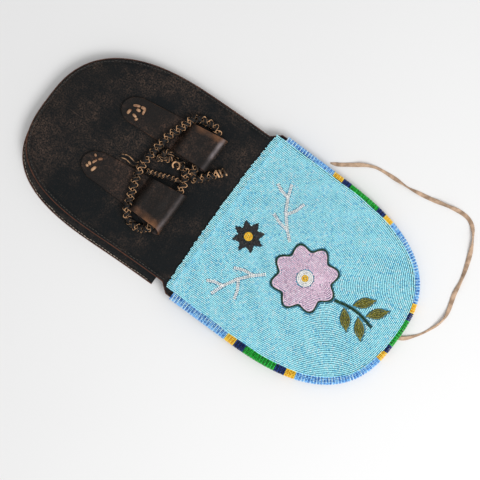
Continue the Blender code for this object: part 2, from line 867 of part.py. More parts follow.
def border_run(number, colour, start, end):
    steps = max(1, round((end - start) / border_step))
    rings = []
    for n in range(steps + 1):
        (x, y), inward = edge_at(start + (end - start) * n / steps)
        rings.append([(x + inward[0] * p, y + inward[1] * p, z) for p, z in border_section()])
    shape = bmesh.new()
    rows = [[shape.verts.new(point) for point in ring] for ring in rings]
    for row, following in zip(rows, rows[1:]):
        for n in range(len(row)):
            after = (n + 1) % len(row)
            shape.faces.new((row[n], row[after], following[after], following[n]))
    shape.faces.new(rows[0][::-1])
    shape.faces.new(rows[-1])
    bmesh.ops.recalc_face_normals(shape, faces=shape.faces)
    name = f"border_{number:02d}_{colour}"
    mesh = bpy.data.meshes.new(name)
    shape.to_mesh(mesh)
    shape.free()
    place(bpy.data.objects.new(name, mesh), pouch_parts, flap_hinge, bead_finish[colour])


run_start = 0.0
for number, (colour, share) in enumerate(border_runs_shares, 1):
    run_end = share * edge_arc[-1]
    border_run(number, colour, run_start + border_joint / 2, run_end - border_joint / 2)
    run_start = run_end

# Tie thong lying on the table, from its anchor under the flap's tip round to the flap's edge
bpy.ops.mesh.primitive_cube_add(size=1)
anchor = bpy.context.object
anchor.name = "thong_anchor"
place(anchor, pouch_parts, flap_hinge, rawhide)
anchor.scale = (*anchor_size, anchor_height)
anchor.location = (anchor_x, anchor_y, flap_inner - piece_gap - anchor_height / 2)

THONG_ROUTE = [
    (210.2, 5.4), (216.3, 7.5), (221.6, 11.0), (226.8, 17.2), (231.3, 23.3), (235.2, 30.9), (239.4, 41.2),
    (240.9, 50.2), (240.0, 58.8), (237.4, 67.2), (234.3, 77.4), (232.1, 90.1), (229.1, 102.2), (225.2, 113.5),
    (220.9, 123.7), (216.2, 132.4), (208.6, 141.8), (199.5, 146.2), (187.4, 146.0), (173.1, 142.7), (158.7, 139.3),
    (144.1, 136.5), (133.6, 134.8), (120.7, 134.2), (107.7, 133.5), (95.4, 131.7), (84.2, 126.6), (73.3, 119.0),
    (62.9, 111.6), (55.3, 108.0),
]
thong_curve = bpy.data.curves.new("tie_thong", "CURVE")
thong_curve.dimensions = "3D"
thong_curve.twist_mode = "Z_UP"
thong_curve.extrude = (thong_width - thong_thick) / 2
thong_curve.bevel_depth = thong_thick / 2
thong_curve.bevel_resolution = 2
thong_curve.use_fill_caps = True
thong_points = smooth_route(at_height(THONG_ROUTE, thong_thick / 2 + piece_gap / 3), 2)
thong_spline = thong_curve.splines.new("POLY")
thong_spline.points.add(len(thong_points) - 1)
for point, place_of in zip(thong_spline.points, thong_points):
    point.co = (*place_of, 1)
    point.tilt = math.pi / 2
thong = bpy.data.objects.new("tie_thong", thong_curve)
place(thong, pouch_parts, flap_hinge, rawhide)
thong.location = (axis_z * math.sin(flap_slope), 0, -axis_z * math.cos(flap_slope))
thong.rotation_euler = (0, -flap_slope, 0)
as_mesh(thong)
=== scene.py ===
"""Looks of the beaded belt pouch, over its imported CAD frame. Metres, +Z up.

Pieces are made where they lie from the fold: +X towards the flap's tip, +Y across.
"""

import math

import bmesh
import bpy
import numpy as np
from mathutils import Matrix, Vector, noise


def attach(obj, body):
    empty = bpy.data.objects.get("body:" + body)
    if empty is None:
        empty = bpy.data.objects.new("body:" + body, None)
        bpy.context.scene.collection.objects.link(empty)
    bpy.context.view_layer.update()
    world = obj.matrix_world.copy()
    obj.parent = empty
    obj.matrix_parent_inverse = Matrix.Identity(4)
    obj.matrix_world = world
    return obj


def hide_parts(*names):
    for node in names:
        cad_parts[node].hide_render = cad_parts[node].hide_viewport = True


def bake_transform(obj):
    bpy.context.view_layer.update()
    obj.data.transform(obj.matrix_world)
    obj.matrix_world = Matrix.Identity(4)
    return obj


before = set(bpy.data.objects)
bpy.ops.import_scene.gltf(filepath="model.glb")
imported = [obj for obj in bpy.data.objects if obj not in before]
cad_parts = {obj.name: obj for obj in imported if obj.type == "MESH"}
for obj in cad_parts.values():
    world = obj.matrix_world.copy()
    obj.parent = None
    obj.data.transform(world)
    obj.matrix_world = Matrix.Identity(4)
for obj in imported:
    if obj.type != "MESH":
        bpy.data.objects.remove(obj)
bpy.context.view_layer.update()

mm = 0.001
noise.seed_set(7)
chance = np.random.default_rng(7)
upward = Vector((0, 0, 1))

# Place of the fold in the row frame
fold_x = -2.35 * mm
fold_y = -1.14 * mm

# Sizes shared with the CAD source
piece_gap = 0.3 * mm
leather = 2.2 * mm
panel_top = 13.0 * mm
body_length = 211.0 * mm
back_half_width = 90.5 * mm
front_half_width = 92.5 * mm
front_setback = 17.0 * mm
front_shift = -7.5 * mm
body_lean = -13.0 * mm
body_centre = 2.0 * mm
body_round_length = 131.0 * mm
gusset_inset = 2.6 * mm
gusset_wall = 2.0 * mm
seam_inset = 4.6 * mm
flap_length = 215.5 * mm
flap_half_width = 100.8 * mm
flap_centre = 2.3 * mm
flap_round_length = 147.0 * mm
bead = 1.6 * mm
backing_cloth = 0.6 * mm
border_width = 8.0 * mm
border_wall = 1.7 * mm
border_start = 6.0 * mm
anchor_height = 4.0 * mm
anchor_reach = 206.5 * mm  # of the thong's anchor, from the fold
loop_tip_x = -146.4 * mm
loop_fold_x = -39.0 * mm
loop_ramp_x = -78.5 * mm
loop_ramp_length = 7.0 * mm
loop_foot_end_x = -71.0 * mm
loop_tip_width = 27.0 * mm
loop_fold_width = {"left": 44.0 * mm, "right": 37.5 * mm}
loop_tip_y = {"left": -35.2 * mm, "right": 32.0 * mm}
loop_fold_y = {"left": -27.4 * mm, "right": 44.0 * mm}
tunnel_height = 8.6 * mm
braid = 7.0 * mm
inner_braid = 4.6 * mm
loose_strand = 2.4 * mm
cord_slope_share = 0.35
thong_width = 4.0 * mm
thong_thick = 1.1 * mm
body_powers_shares = (2.6, 2.8)
flap_powers_shares = (2.7, 2.7)

# Worked out from the sizes above
edge_cover = border_wall + piece_gap
axis_z = (panel_top - leather - edge_cover - piece_gap) / 2
flap_inner = panel_top - leather - axis_z
leather_top = flap_inner + leather
bead_bottom = leather_top + 2 * piece_gap + backing_cloth
flap_slope = math.asin((axis_z + flap_inner - anchor_height - piece_gap) / anchor_reach)
field_inset = border_width + piece_gap
on_panel = panel_top + piece_gap
strap_low = on_panel + leather / 2
strap_high = strap_low + leather + tunnel_height
strap_bend = (strap_high - strap_low) / 2
strap_bend_x = loop_fold_x - strap_bend - leather / 2
strap_climb = strap_low + leather / 2 - panel_top

# Camera, straight above, turned as the photograph is
view_turn = math.radians(36.58)
view_x = 26.05 * mm
view_y = -9.94 * mm
view_height = 1212.0 * mm
lens = 90.0
sensor = 36.0


def new_object(name, data):
    made = bpy.data.objects.new(name, data)
    bpy.context.scene.collection.objects.link(made)
    return made


camera_data = bpy.data.cameras.new("camera")
camera_data.lens = lens
camera_data.sensor_width = sensor
camera = new_object("camera", camera_data)
camera.location = (view_x, view_y, view_height)
camera.rotation_euler = (0, 0, view_turn)
bpy.context.scene.camera = camera

# Shapes
sharp_turn = math.radians(62)


class Form:
    """Points and faces gathered for one mesh, with a number on each point."""

    def __init__(self):
        self.points = []
        self.faces = []
        self.values = []

    def add(self, points, faces, values):
        first = len(self.points)
        self.points += [tuple(p) for p in points]
        self.faces += [tuple(first + n for n in face) for face in faces]
        self.values += list(values)

    def made(self, name, finish):
        mesh = bpy.data.meshes.new(name)
        mesh.from_pydata(self.points, [], self.faces)
        tone = mesh.attributes.new("tone", "FLOAT", "POINT")
        tone.data.foreach_set("value", [float(v) for v in self.values])
        mesh.polygons.foreach_set("use_smooth", [True] * len(mesh.polygons))
        mesh.set_sharp_from_angle(angle=sharp_turn)
        mesh.materials.append(finish)
        mesh.update()
        return new_object(name, mesh)


def sound(piece):
    """Turns all faces of a closed mesh outwards."""
    shape = bmesh.new()
    shape.from_mesh(piece.data)
    bmesh.ops.recalc_face_normals(shape, faces=shape.faces)
    shape.to_mesh(piece.data)
    shape.free()
    return piece


def on_pouch(piece, slot, *nodes):
    """Lays a piece made in fold coordinates on the pouch, in place of CAD nodes."""
    piece.location = (fold_x, fold_y, 0)
    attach(piece, "pouch")
    if nodes:
        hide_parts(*nodes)
    return piece


def on_flap(piece, slot, *nodes):
    """Lays a piece made in the flap's own plane, from the hinge axis up, on the flap."""
    piece.location = (fold_x, fold_y, axis_z)
    piece.rotation_euler = (0, flap_slope, 0)
    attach(piece, "flap")
    if nodes:
        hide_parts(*nodes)
    return piece


def under_flap(piece, node):
    """Lays a piece made in fold coordinates with the flap, in place of a CAD node."""
    piece.location = (fold_x, fold_y, 0)
    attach(piece, "flap")
    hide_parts(node)
    return piece


def smooth_route(points, per_leg):
    """Points on a Catmull-Rom curve through a cord's own points."""
    ends = [points[0], *points, points[-1]]
    made = []
    for a, b, c, d in zip(ends, ends[1:], ends[2:], ends[3:]):
        for n in range(per_leg):
            t = n / per_leg
            made.append(
                Vector(
                    (2 * q + (r - p) * t + (2 * p - 5 * q + 4 * r - s) * t**2
                     + (3 * q - p - 3 * r + s) * t**3) / 2
                    for p, q, r, s in zip(a, b, c, d)
                )
            )
    return made + [Vector(points[-1])]


def arc_lengths(points):
    arc = [0.0]
    for here, after in zip(points, points[1:]):
        arc.append(arc[-1] + (Vector(after) - Vector(here)).length)
    return arc


def resampled(points, step):
    """Points evenly spaced along a line, about step apart."""
    arc = np.array(arc_lengths(points))
    count = max(2, int(round(arc[-1] / step)) + 1)
    at = np.linspace(0, arc[-1], count)
    columns = np.array([tuple(p) for p in points])
    return [Vector(row) for row in np.stack([np.interp(at, arc, c) for c in columns.T], axis=1)]


def way_at(path, n, up=upward, closed=False):
    """Unit vectors along a path at its point n, across it, and over it, towards up."""
    before = path[n - 1] if n or closed else path[n]
    after = path[(n + 1) % len(path)] if n < len(path) - 1 or closed else path[n]
    along = (after - before).normalized()
    across = along.cross(up).normalized()
    return along, across, across.cross(along)


def joined(rings):
    return [p for ring in rings for p in ring]


def quads(rings, wide, closed=False, looped=True):
    """Faces between rings of points. Closed: from the last to the first. Looped: all round each."""
    faces = []
    for n in range(rings if closed else rings - 1):
        here, after = n * wide, (n + 1) % rings * wide
        for k in range(wide if looped else wide - 1):
            j = (k + 1) % wide
            faces.append((here + k, here + j, after + j, after + k))
    return faces


def swept(form, path, section, ups=None, values=None, sizes=None, closed=False):
    """Carries a closed section of (across, up) places along a path."""
    count, wide = len(path), len(section)
    rings = []
    for n, here in enumerate(path):
        along, across, over = way_at(path, n, ups[n] if ups else upward, closed)
        size = sizes[n] if sizes else 1
        rings.append([here + (across * s + over * t) * size for s, t in section])
    faces = quads(count, wide, closed)
    if not closed:
        faces.append(tuple(reversed(range(wide))))
        faces.append(tuple(range((count - 1) * wide, count * wide)))
    form.add(joined(rings), faces, (values or [0] * wide) * count)


def all_round(points):
    return [2 * math.pi * n / points for n in range(points)]


def oval(width, height, points):
    return [(width / 2 * math.cos(t), height / 2 * math.sin(t)) for t in all_round(points)]


def strip_section(width, thick, bevel):
    """A flat strip with its corners taken off, and 1 at the places on its raw edges."""
    half, high = width / 2, thick / 2
    places = [
        (half, -high + bevel), (half, high - bevel), (half - bevel, high), (0, high),
        (-half + bevel, high), (-half, high - bevel), (-half, -high + bevel),
        (-half + bevel, -high), (0, -high), (half - bevel, -high),
    ]
    return places, [1, 1, 0.35, 0, 0.35, 1, 1, 0.35, 0, 0.35]


# Materials
def new_material(name):
    made = bpy.data.materials.new(name)
    made.use_nodes = True
    shader = made.node_tree.nodes["Principled BSDF"]
    return made, made.node_tree, shader


def node(tree, kind, settings=(), **inputs):
    """A node with its settings and sockets filled in. A socket's value may be another socket."""
    made = tree.nodes.new(kind)
    for name, value in settings:
        setattr(made, name, value)
    for name, value in inputs.items():
        socket = made.inputs[int(name[1:])] if name[0] == "_" else made.inputs[name]
        if isinstance(value, bpy.types.NodeSocket):
            tree.links.new(value, socket)
        else:
            socket.default_value = value
    return made


def noise_at(tree, place, scale, detail=4.0, roughness=0.55):
    return node(
        tree, "ShaderNodeTexNoise", Vector=place, Scale=scale, Detail=detail, Roughness=roughness
    ).outputs["Fac"]


def ranged(tree, value, low, high, to_low=0.0, to_high=1.0):
    made = node(tree, "ShaderNodeMapRange", _0=value, _1=low, _2=high, _3=to_low, _4=to_high)
    return made.outputs["Result"]


def mixed(tree, share, first, second):
    """Mix of two colours, each a socket or a colour."""
    made = node(tree, "ShaderNodeMix", [("data_type", "RGBA")], _0=share)
    for socket, value in ((made.inputs[6], first), (made.inputs[7], second)):
        if isinstance(value, bpy.types.NodeSocket):
            tree.links.new(value, socket)
        else:
            socket.default_value = (*value, 1.0)
    return made.outputs[2]


def times(tree, first, second):
    return node(tree, "ShaderNodeMath", [("operation", "MULTIPLY")], _0=first, _1=second).outputs[0]


def added(tree, first, second):
    return node(tree, "ShaderNodeMath", [("operation", "ADD")], _0=first, _1=second).outputs[0]


def number(tree, name):
    return node(tree, "ShaderNodeAttribute", [("attribute_name", name)]).outputs["Fac"]


def object_place(tree, scale=(1, 1, 1), turn=0.0):
    place = node(tree, "ShaderNodeTexCoord").outputs["Object"]
    made = node(tree, "ShaderNodeMapping", Vector=place, Scale=scale, Rotation=(0, 0, turn))
    return made.outputs["Vector"]


def bumped(tree, shader, height, strength, distance):
    made = node(tree, "ShaderNodeBump", Height=height, Strength=strength, Distance=distance)
    tree.links.new(made.outputs["Normal"], shader.inputs["Normal"])


far_wear_x = -210.0 * mm  # the round end is worn most here, and less over the run from it
far_wear_run = 60.0 * mm
ridge_start = 7.5 * mm  # the strap's painted sheen along its ridge: all three are before its fold
ridge_crest = 4.2 * mm
ridge_end = 1.8 * mm
ridge_fade = 10.0 * mm  # the painted sheen goes from half strength on the left to full on the right, over this much to each side of the middle line
painted_sheen_colour = (0.28, 0.24, 0.25)
hide_relief = 0.35 * mm
bead_relief = 0.1 * mm
fibre_relief = 0.25 * mm
strand_relief = 0.2 * mm


def leather_finish(name, dark, worn, raw, gloss, shine, ridge_x=None):
    """Oiled hide: dark, with worn brown patches, scratches, a pebbled grain and raw edges; given ridge_x,
    a painted sheen along the ridge before that fold.
    """
    made, tree, shader = new_material(name)
    place = object_place(tree)
    patches = noise_at(tree, place, 22.0, 5.0, 0.6)
    mottle = noise_at(tree, place, 150.0, 5.0, 0.65)
    speckle = noise_at(tree, place, 620.0, 4.0, 0.7)
    fine = noise_at(tree, place, 1300.0, 3.0)
    axes = node(tree, "ShaderNodeSeparateXYZ", Vector=place).outputs
    x = axes["X"]
    worn_share = times(tree, ranged(tree, patches, 0.43, 0.64, 0.05), ranged(tree, mottle, 0.3, 0.7))
    far_wear = ranged(tree, x, far_wear_x, far_wear_x + far_wear_run, 0.15, 0.0)
    worn_share = times(tree, added(tree, worn_share, far_wear), ranged(tree, speckle, 0.42, 0.66))
    colour = mixed(tree, worn_share, dark, worn)
    streaks = noise_at(tree, object_place(tree, (14, 260, 40), 0.9), 3.0, 3.0)
    crossing = noise_at(tree, object_place(tree, (300, 12, 40), 0.2), 3.0, 3.0)
    scratches = added(
        tree, ranged(tree, streaks, 0.70, 0.78, 0.0, 0.5), ranged(tree, crossing, 0.71, 0.79, 0.0, 0.4)
    )
    colour = mixed(tree, scratches, colour, worn)
    colour = mixed(tree, ranged(tree, fine, 0.60, 0.8, 0.0, 0.45), colour, worn)
    # painted sheen: a pale highlight band on the strap's ridge before its fold, stronger on the right
    # loop
    if ridge_x is not None:
        crest = ridge_x - ridge_crest
        painted_sheen = times(
            tree, ranged(tree, x, ridge_x - ridge_start, crest),
            ranged(tree, x, crest, ridge_x - ridge_end, 1.0, 0.0),
        )
        painted_sheen = times(tree, painted_sheen, ranged(tree, patches, 0.42, 0.62, 0.08, 0.9))
        sheen_side_share = ranged(tree, axes["Y"], -ridge_fade, ridge_fade, 0.5, 1.0)
        colour = mixed(tree, times(tree, painted_sheen, sheen_side_share), colour, painted_sheen_colour)
    rim = ranged(tree, number(tree, "tone"), 0.35, 0.95)
    rim_patchy = times(tree, rim, ranged(tree, mottle, 0.3, 0.6, 0.45))
    tree.links.new(mixed(tree, rim_patchy, colour, raw), shader.inputs["Base Color"])
    low, high = 0.62 - 0.3 * gloss, 0.82 - 0.3 * gloss
    rough = added(tree, ranged(tree, mottle, 0.3, 0.7, low, high), times(tree, rim, 0.2))
    tree.links.new(rough, shader.inputs["Roughness"])
    shader.inputs["Specular IOR Level"].default_value = shine
    pebble = node(tree, "ShaderNodeTexVoronoi", Vector=place, Scale=620.0, Randomness=0.9)
    grain = added(tree, times(tree, pebble.outputs["Distance"], 0.8), times(tree, mottle, 1.4))
    bumped(tree, shader, added(tree, grain, times(tree, scratches, -0.6)), 0.35, hide_relief)
    return made


def bead_finish(name, deep, plain, pale):
    """Glass beads: each bead has its own shade, from the number that its points carry."""
    made, tree, shader = new_material(name)
    tone = number(tree, "tone")
    colour = mixed(tree, ranged(tree, tone, 0.0, 0.18), deep, plain)
    colour = mixed(tree, ranged(tree, tone, 0.72, 1.0), colour, pale)
    dust = noise_at(tree, object_place(tree), 420.0, 3.0)
    colour = mixed(tree, ranged(tree, dust, 0.55, 0.8, 0.0, 0.15), colour, deep)
    tree.links.new(colour, shader.inputs["Base Color"])
    cloud = noise_at(tree, object_place(tree), 60.0, 2.0)
    tree.links.new(ranged(tree, cloud, 0.3, 0.7, 0.16, 0.32), shader.inputs["Roughness"])
    shader.inputs["Specular IOR Level"].default_value = 0.35
    shader.inputs["Coat Weight"].default_value = 0.12
    shader.inputs["Coat Roughness"].default_value = 0.12
    bumped(tree, shader, dust, 0.12, bead_relief)
    return made


def fibre_finish(name, dark, pale, scale, rough):
    """Rawhide, sinew or cloth: long fibres, with paler and darker stretches."""
    made, tree, shader = new_material(name)
    cloud = noise_at(tree, object_place(tree), 140.0, 5.0)
    fibre = noise_at(tree, object_place(tree, (1, 3, 1)), scale, 4.0)
    colour = mixed(tree, ranged(tree, cloud, 0.35, 0.65), dark, pale)
    colour = mixed(tree, ranged(tree, fibre, 0.5, 0.75, 0.0, 0.5), colour, dark)
    tree.links.new(colour, shader.inputs["Base Color"])
    low, high = rough - 0.1, rough + 0.1
    tree.links.new(ranged(tree, fibre, 0.3, 0.7, low, high), shader.inputs["Roughness"])
    bumped(tree, shader, fibre, 0.4, fibre_relief)
    return made


def strand_finish(name, dark, raw):
    """A cut leather strand: dark grain side, pale raw edges."""
    made, tree, shader = new_material(name)
    place = object_place(tree)
    mottle = noise_at(tree, place, 260.0, 4.0)
    grime = noise_at(tree, place, 120.0, 3.0)
    edge = ranged(tree, number(tree, "tone"), 0.5, 0.8)
    edge = times(tree, edge, ranged(tree, grime, 0.40, 0.52, 0.08))
    edge = times(tree, edge, ranged(tree, mottle, 0.3, 0.55, 0.55))
    shade = mixed(tree, ranged(tree, mottle, 0.4, 0.7), dark, tuple(c * 1.7 for c in dark))
    tree.links.new(mixed(tree, edge, shade, raw), shader.inputs["Base Color"])
    tree.links.new(ranged(tree, mottle, 0.3, 0.7, 0.5, 0.7), shader.inputs["Roughness"])
    shader.inputs["Specular IOR Level"].default_value = 0.2
    bumped(tree, shader, noise_at(tree, place, 900.0, 3.0), 0.3, strand_relief)
    return made


body_finish = leather_finish(
    "hide_dark", (0.0036, 0.0056, 0.0068), (0.125, 0.080, 0.058), (0.17, 0.062, 0.035), 0.35, 0.14
)
strap_finish = leather_finish(
    "hide_strap", (0.0075, 0.0064, 0.0060), (0.145, 0.080, 0.054), (0.21, 0.095, 0.045), 0.6, 0.2,
    loop_fold_x,
)
strand_dark = strand_finish("braid_strand", (0.0060, 0.0058, 0.0060), (0.72, 0.42, 0.22))
lace_finish = fibre_finish("rawhide_lace", (0.20, 0.085, 0.04), (0.60, 0.36, 0.20), 500.0, 0.6)
thong_finish = fibre_finish("thong_hide", (0.30, 0.195, 0.125), (0.64, 0.44, 0.30), 500.0, 0.75)
thread_finish = fibre_finish("seam_thread", (0.014, 0.013, 0.011), (0.045, 0.039, 0.032), 1200.0, 0.6)
margin_finish = fibre_finish("margin_thread", (0.12, 0.10, 0.08), (0.42, 0.36, 0.29), 1200.0, 0.6)
cloth_finish = fibre_finish("backing_weave", (0.06, 0.26, 0.40), (0.14, 0.44, 0.62), 900.0, 0.85)
BEAD_SHADES = {
    "turquoise": ((0.17, 0.61, 0.86), (0.43, 0.91, 1.0), (0.72, 0.97, 1.0)),
    "light_blue": ((0.05, 0.21, 0.60), (0.23, 0.56, 0.95), (0.55, 0.82, 0.99)),
    "gold": ((0.78, 0.38, 0.02), (0.97, 0.60, 0.03), (0.99, 0.76, 0.14)),
    "navy": ((0.002, 0.009, 0.045), (0.004, 0.022, 0.14), (0.012, 0.05, 0.26)),
    "green": ((0.003, 0.17, 0.012), (0.005, 0.41, 0.03), (0.03, 0.60, 0.08)),
    "lavender": ((0.58, 0.40, 0.54), (0.82, 0.62, 0.76), (0.95, 0.84, 0.93)),
    "dark_green": ((0.004, 0.018, 0.006), (0.01, 0.045, 0.015), (0.02, 0.09, 0.03)),
    "olive": ((0.09, 0.085, 0.01), (0.18, 0.17, 0.02), (0.30, 0.29, 0.06)),
    "white": ((0.66, 0.66, 0.64), (0.93, 0.93, 0.91), (1.0, 1.0, 1.0)),
    "black": ((0.004, 0.004, 0.004), (0.010, 0.010, 0.011), (0.05, 0.045, 0.04)),
}
bead_finishes = {name: bead_finish("beads_" + name, *BEAD_SHADES[name]) for name in BEAD_SHADES}

# Braided cord and tie thong: the CAD source's own routes, in metres from the fold
BRAID_ROUTE = [
    (-0.0710, 0.0156), (-0.0664, 0.0163), (-0.0612, 0.0159), (-0.0566, 0.0139), (-0.0531, 0.0097),
    (-0.0507, 0.0044), (-0.0490, -0.0014), (-0.0486, -0.0090), (-0.0490, -0.0180), (-0.0496, -0.0290),
    (-0.0500, -0.0400), (-0.0506, -0.0498), (-0.0536, -0.0554), (-0.0592, -0.0592), (-0.0660, -0.0602),
    (-0.0724, -0.0584), (-0.0772, -0.0550), (-0.0806, -0.0506), (-0.0826, -0.0452), (-0.0848, -0.0390),
    (-0.0871, -0.0324), (-0.0895, -0.0260), (-0.0917, -0.0190), (-0.0934, -0.0115), (-0.0943, -0.0040),
    (-0.0941, 0.0040), (-0.0929, 0.0120), (-0.0919, 0.0200), (-0.0911, 0.0275), (-0.0894, 0.0345),
    (-0.0866, 0.0410), (-0.0846, 0.0470), (-0.0828, 0.0532), (-0.0804, 0.0592), (-0.0754, 0.0638),
    (-0.0686, 0.0656), (-0.0622, 0.0666), (-0.0564, 0.0658), (-0.0519, 0.0620), (-0.0500, 0.0560),
    (-0.0498, 0.0490), (-0.0500, 0.0410), (-0.0500, 0.0330), (-0.0502, 0.0260), (-0.0501, 0.0198),
    (-0.0488, 0.0156), (-0.0459, 0.0130), (-0.0426, 0.0134), (-0.0393, 0.0172), (-0.0350, 0.0226),
    (-0.0309, 0.0278), (-0.0272, 0.0324), (-0.0234, 0.0370),
]
CROSSING_ROUTE = [
    (-0.0870, -0.0088), (-0.0795, -0.0064), (-0.0723, -0.0038), (-0.0655, -0.0010), (-0.0595, 0.0010),
    (-0.0548, 0.0018),
]
LOOSE_ROUTE = [
    (-0.0984, -0.0078), (-0.1014, -0.0107), (-0.1065, -0.0102), (-0.1115, -0.0099), (-0.1177, -0.0124),
]
THONG_ROUTE = [
    (0.2102, 0.0054), (0.2163, 0.0075), (0.2216, 0.0110), (0.2268, 0.0172), (0.2313, 0.0233),
    (0.2352, 0.0309), (0.2394, 0.0412), (0.2409, 0.0502), (0.2400, 0.0588), (0.2374, 0.0672),
    (0.2343, 0.0774), (0.2321, 0.0901), (0.2291, 0.1022), (0.2252, 0.1135), (0.2209, 0.1237),
    (0.2162, 0.1324), (0.2086, 0.1418), (0.1995, 0.1462), (0.1874, 0.1460), (0.1731, 0.1427),
    (0.1587, 0.1393), (0.1441, 0.1365), (0.1336, 0.1348), (0.1207, 0.1342), (0.1077, 0.1335),
    (0.0954, 0.1317), (0.0842, 0.1266), (0.0733, 0.1190), (0.0629, 0.1116), (0.0553, 0.1080),
]


def strap_share(x):
    return (x - loop_tip_x) / (loop_fold_x - loop_tip_x)


def strap_middle_y(side, x):
    return loop_tip_y[side] + (loop_fold_y[side] - loop_tip_y[side]) * strap_share(x)


def strap_half_width(side, x, is_tip):
    straight = (loop_tip_width + (loop_fold_width[side] - loop_tip_width) * strap_share(x)) / 2
    radius = loop_tip_width / 2
    from_tip = x - loop_tip_x
    if is_tip and from_tip < radius:
        return math.sqrt(max(0, radius**2 - (radius - from_tip) ** 2))
    return straight


def meets_strap(x, y, reach):
    return any(
        loop_tip_x - reach < x < loop_fold_x + reach
        and abs(y - strap_middle_y(side, x)) < strap_half_width(side, x, False) + reach
        for side in ("left", "right")
    )


def laid_over_straps(points, reach):
    """The same points, raised where the cord crosses a strap, with a slope down on each side."""
    arc = arc_lengths(points)
    raised = [a for a, p in zip(arc, points) if meets_strap(p.x, p.y, reach)]
    made = []
    for a, point in zip(arc, points):
        away = min(abs(a - other) for other in raised)
        climb = max(0.0, strap_climb - cord_slope_share * away)
        made.append(point + Vector((0, 0, climb)))
    return made


def at_height(route, height):
    return [(x, y, height) for x, y in route]


# Braid of four strands: two wind each way, and each passes over one and under the next
strand_width = 3.5 * mm
strand_thick = 1.3 * mm
strand_bevel = 0.40 * mm
plait_radius = 2.15 * mm
plait_weave = 0.7 * mm
plait_length = 14.0 * mm  # of one whole turn of a strand
plait_step = 0.7 * mm
plait_spread = 1.4  # times wider than high


def plait(form, path, radius, weave, turn_length, width, thick):
    arc = arc_lengths(path)
    section, raw = strip_section(width, thick, strand_bevel)
    for way, start in ((1, 0.0), (1, math.pi), (-1, 0.0), (-1, math.pi)):
        line, ups = [], []
        for n, here in enumerate(path):
            along, across, over = way_at(path, n)
            wound = 2 * math.pi * arc[n] / turn_length
            turn = way * wound + start
            aside, above = across * math.cos(turn), over * math.sin(turn)
            reach = radius + way * weave * math.cos(2 * wound)
            line.append(here + (aside * plait_spread + above) * reach)
            ups.append(aside + above)
        swept(form, line, section, ups, raw)


def braid_piece(form, name, *nodes):
    return on_pouch(form.made(name, strand_dark), "braided_leather", *nodes)


braid_path = laid_over_straps(
    smooth_route(at_height(BRAID_ROUTE, on_panel + braid / 2), 4), braid / 2 + piece_gap
)
braid_line = resampled(braid_path, plait_step)
plaited = Form()
plait(plaited, braid_line, plait_radius, plait_weave, plait_length, strand_width, strand_thick)
braided_cord = braid_piece(plaited, "plaited_cord", "braided_cord")

# Knots where the braid is tied: one strand wound round and through itself
knot_size = (15.5 * mm, 13.5 * mm, 10.5 * mm)
knot_at = (-79.3 * mm, 15.4 * mm)
small_knot_size = (9.0 * mm, 8.0 * mm, 6.5 * mm)
small_knot_at = (-84.6 * mm, 8.6 * mm)
knot_width = 2.1 * mm
knot_thick = 1.1 * mm
knot_stray = 1.3 * mm
knot_steps = 320
knot_ring_shares = (0.56, 0.44)  # how far out a strand lies: its middle and its swing
knot_lift_shares = (0.7, 0.3)


def wound_knot(form, middle, size, turns, waves, width, thick):
    """A strand wound as a torus knot, flattened into a lump of that size."""
    section, raw = strip_section(width, thick, thick / 4)
    reach = [s / 2 - thick for s in size]
    line, ups = [], []
    for turn in all_round(knot_steps):
        ring = knot_ring_shares[0] + knot_ring_shares[1] * math.cos(waves * turn)
        outward = Vector((math.cos(turns * turn), math.sin(turns * turn), 0))
        flat = outward * ring
        lift = math.sin(waves * turn) * (knot_lift_shares[0] + knot_lift_shares[1] * ring)
        stray = noise.noise_vector(Vector((math.cos(turn), math.sin(turn), 0)) * waves) * knot_stray
        wound = Vector((flat.x * reach[0], flat.y * reach[1], lift * reach[2]))
        line.append(Vector(middle) + wound + stray)
        ups.append((outward * math.cos(waves * turn) + upward * lift).normalized())
    swept(form, line, section, ups, raw, closed=True)


knotted = Form()
for (x, y), size, turns, waves in ((knot_at, knot_size, 4, 9), (small_knot_at, small_knot_size, 3, 5)):
    wound_knot(knotted, (x, y, on_panel + size[2] / 2), size, turns, waves, knot_width, knot_thick)
braid_knot = braid_piece(knotted, "tied_knot", "braid_knot")

# Eye of the braid: one strand curled on top of it
curl_at = (-66.7 * mm, 12.7 * mm)
curl_radius = 4.1 * mm
curl_shrink_share = 0.22  # of its radius, from its start to its end
curl_rise = 1.2 * mm
curl_share = 0.82  # of a full turn
curl_start = -0.6
curl_width = 1.5 * mm
curl_steps = 39
curled = Form()
section, raw = strip_section(curl_width, knot_thick, strand_bevel)
curl_line = []
for n in range(curl_steps + 1):
    share = n / curl_steps
    turn = 2 * math.pi * curl_share * share + curl_start
    reach = curl_radius * (1 - curl_shrink_share * share)
    height = on_panel + braid + knot_thick + curl_rise * (1 - share)
    curl_line.append(
        Vector((curl_at[0] + reach * math.cos(turn), curl_at[1] + reach * math.sin(turn), height))
    )
swept(curled, curl_line, section, None, [1] * len(raw))
braid_curl = braid_piece(curled, "braid_curl")


def strand_line(route, thick):
    return resampled(smooth_route(at_height(route, on_panel + thick / 2), 6), plait_step)


# Crossing strands from the knot's side to the tunnel: a smaller plait
crossing_share = 0.62  # of the braid's size
crossing_width_share = 0.68
crossing_thick_share = 0.8
crossed = Form()
plait(
    crossed, strand_line(CROSSING_ROUTE, inner_braid), plait_radius * crossing_share,
    plait_weave * crossing_share, plait_length * crossing_share, strand_width * crossing_width_share,
    strand_thick * crossing_thick_share,
)
braid_crossing = braid_piece(crossed, "plaited_crossing", "braid_crossing")

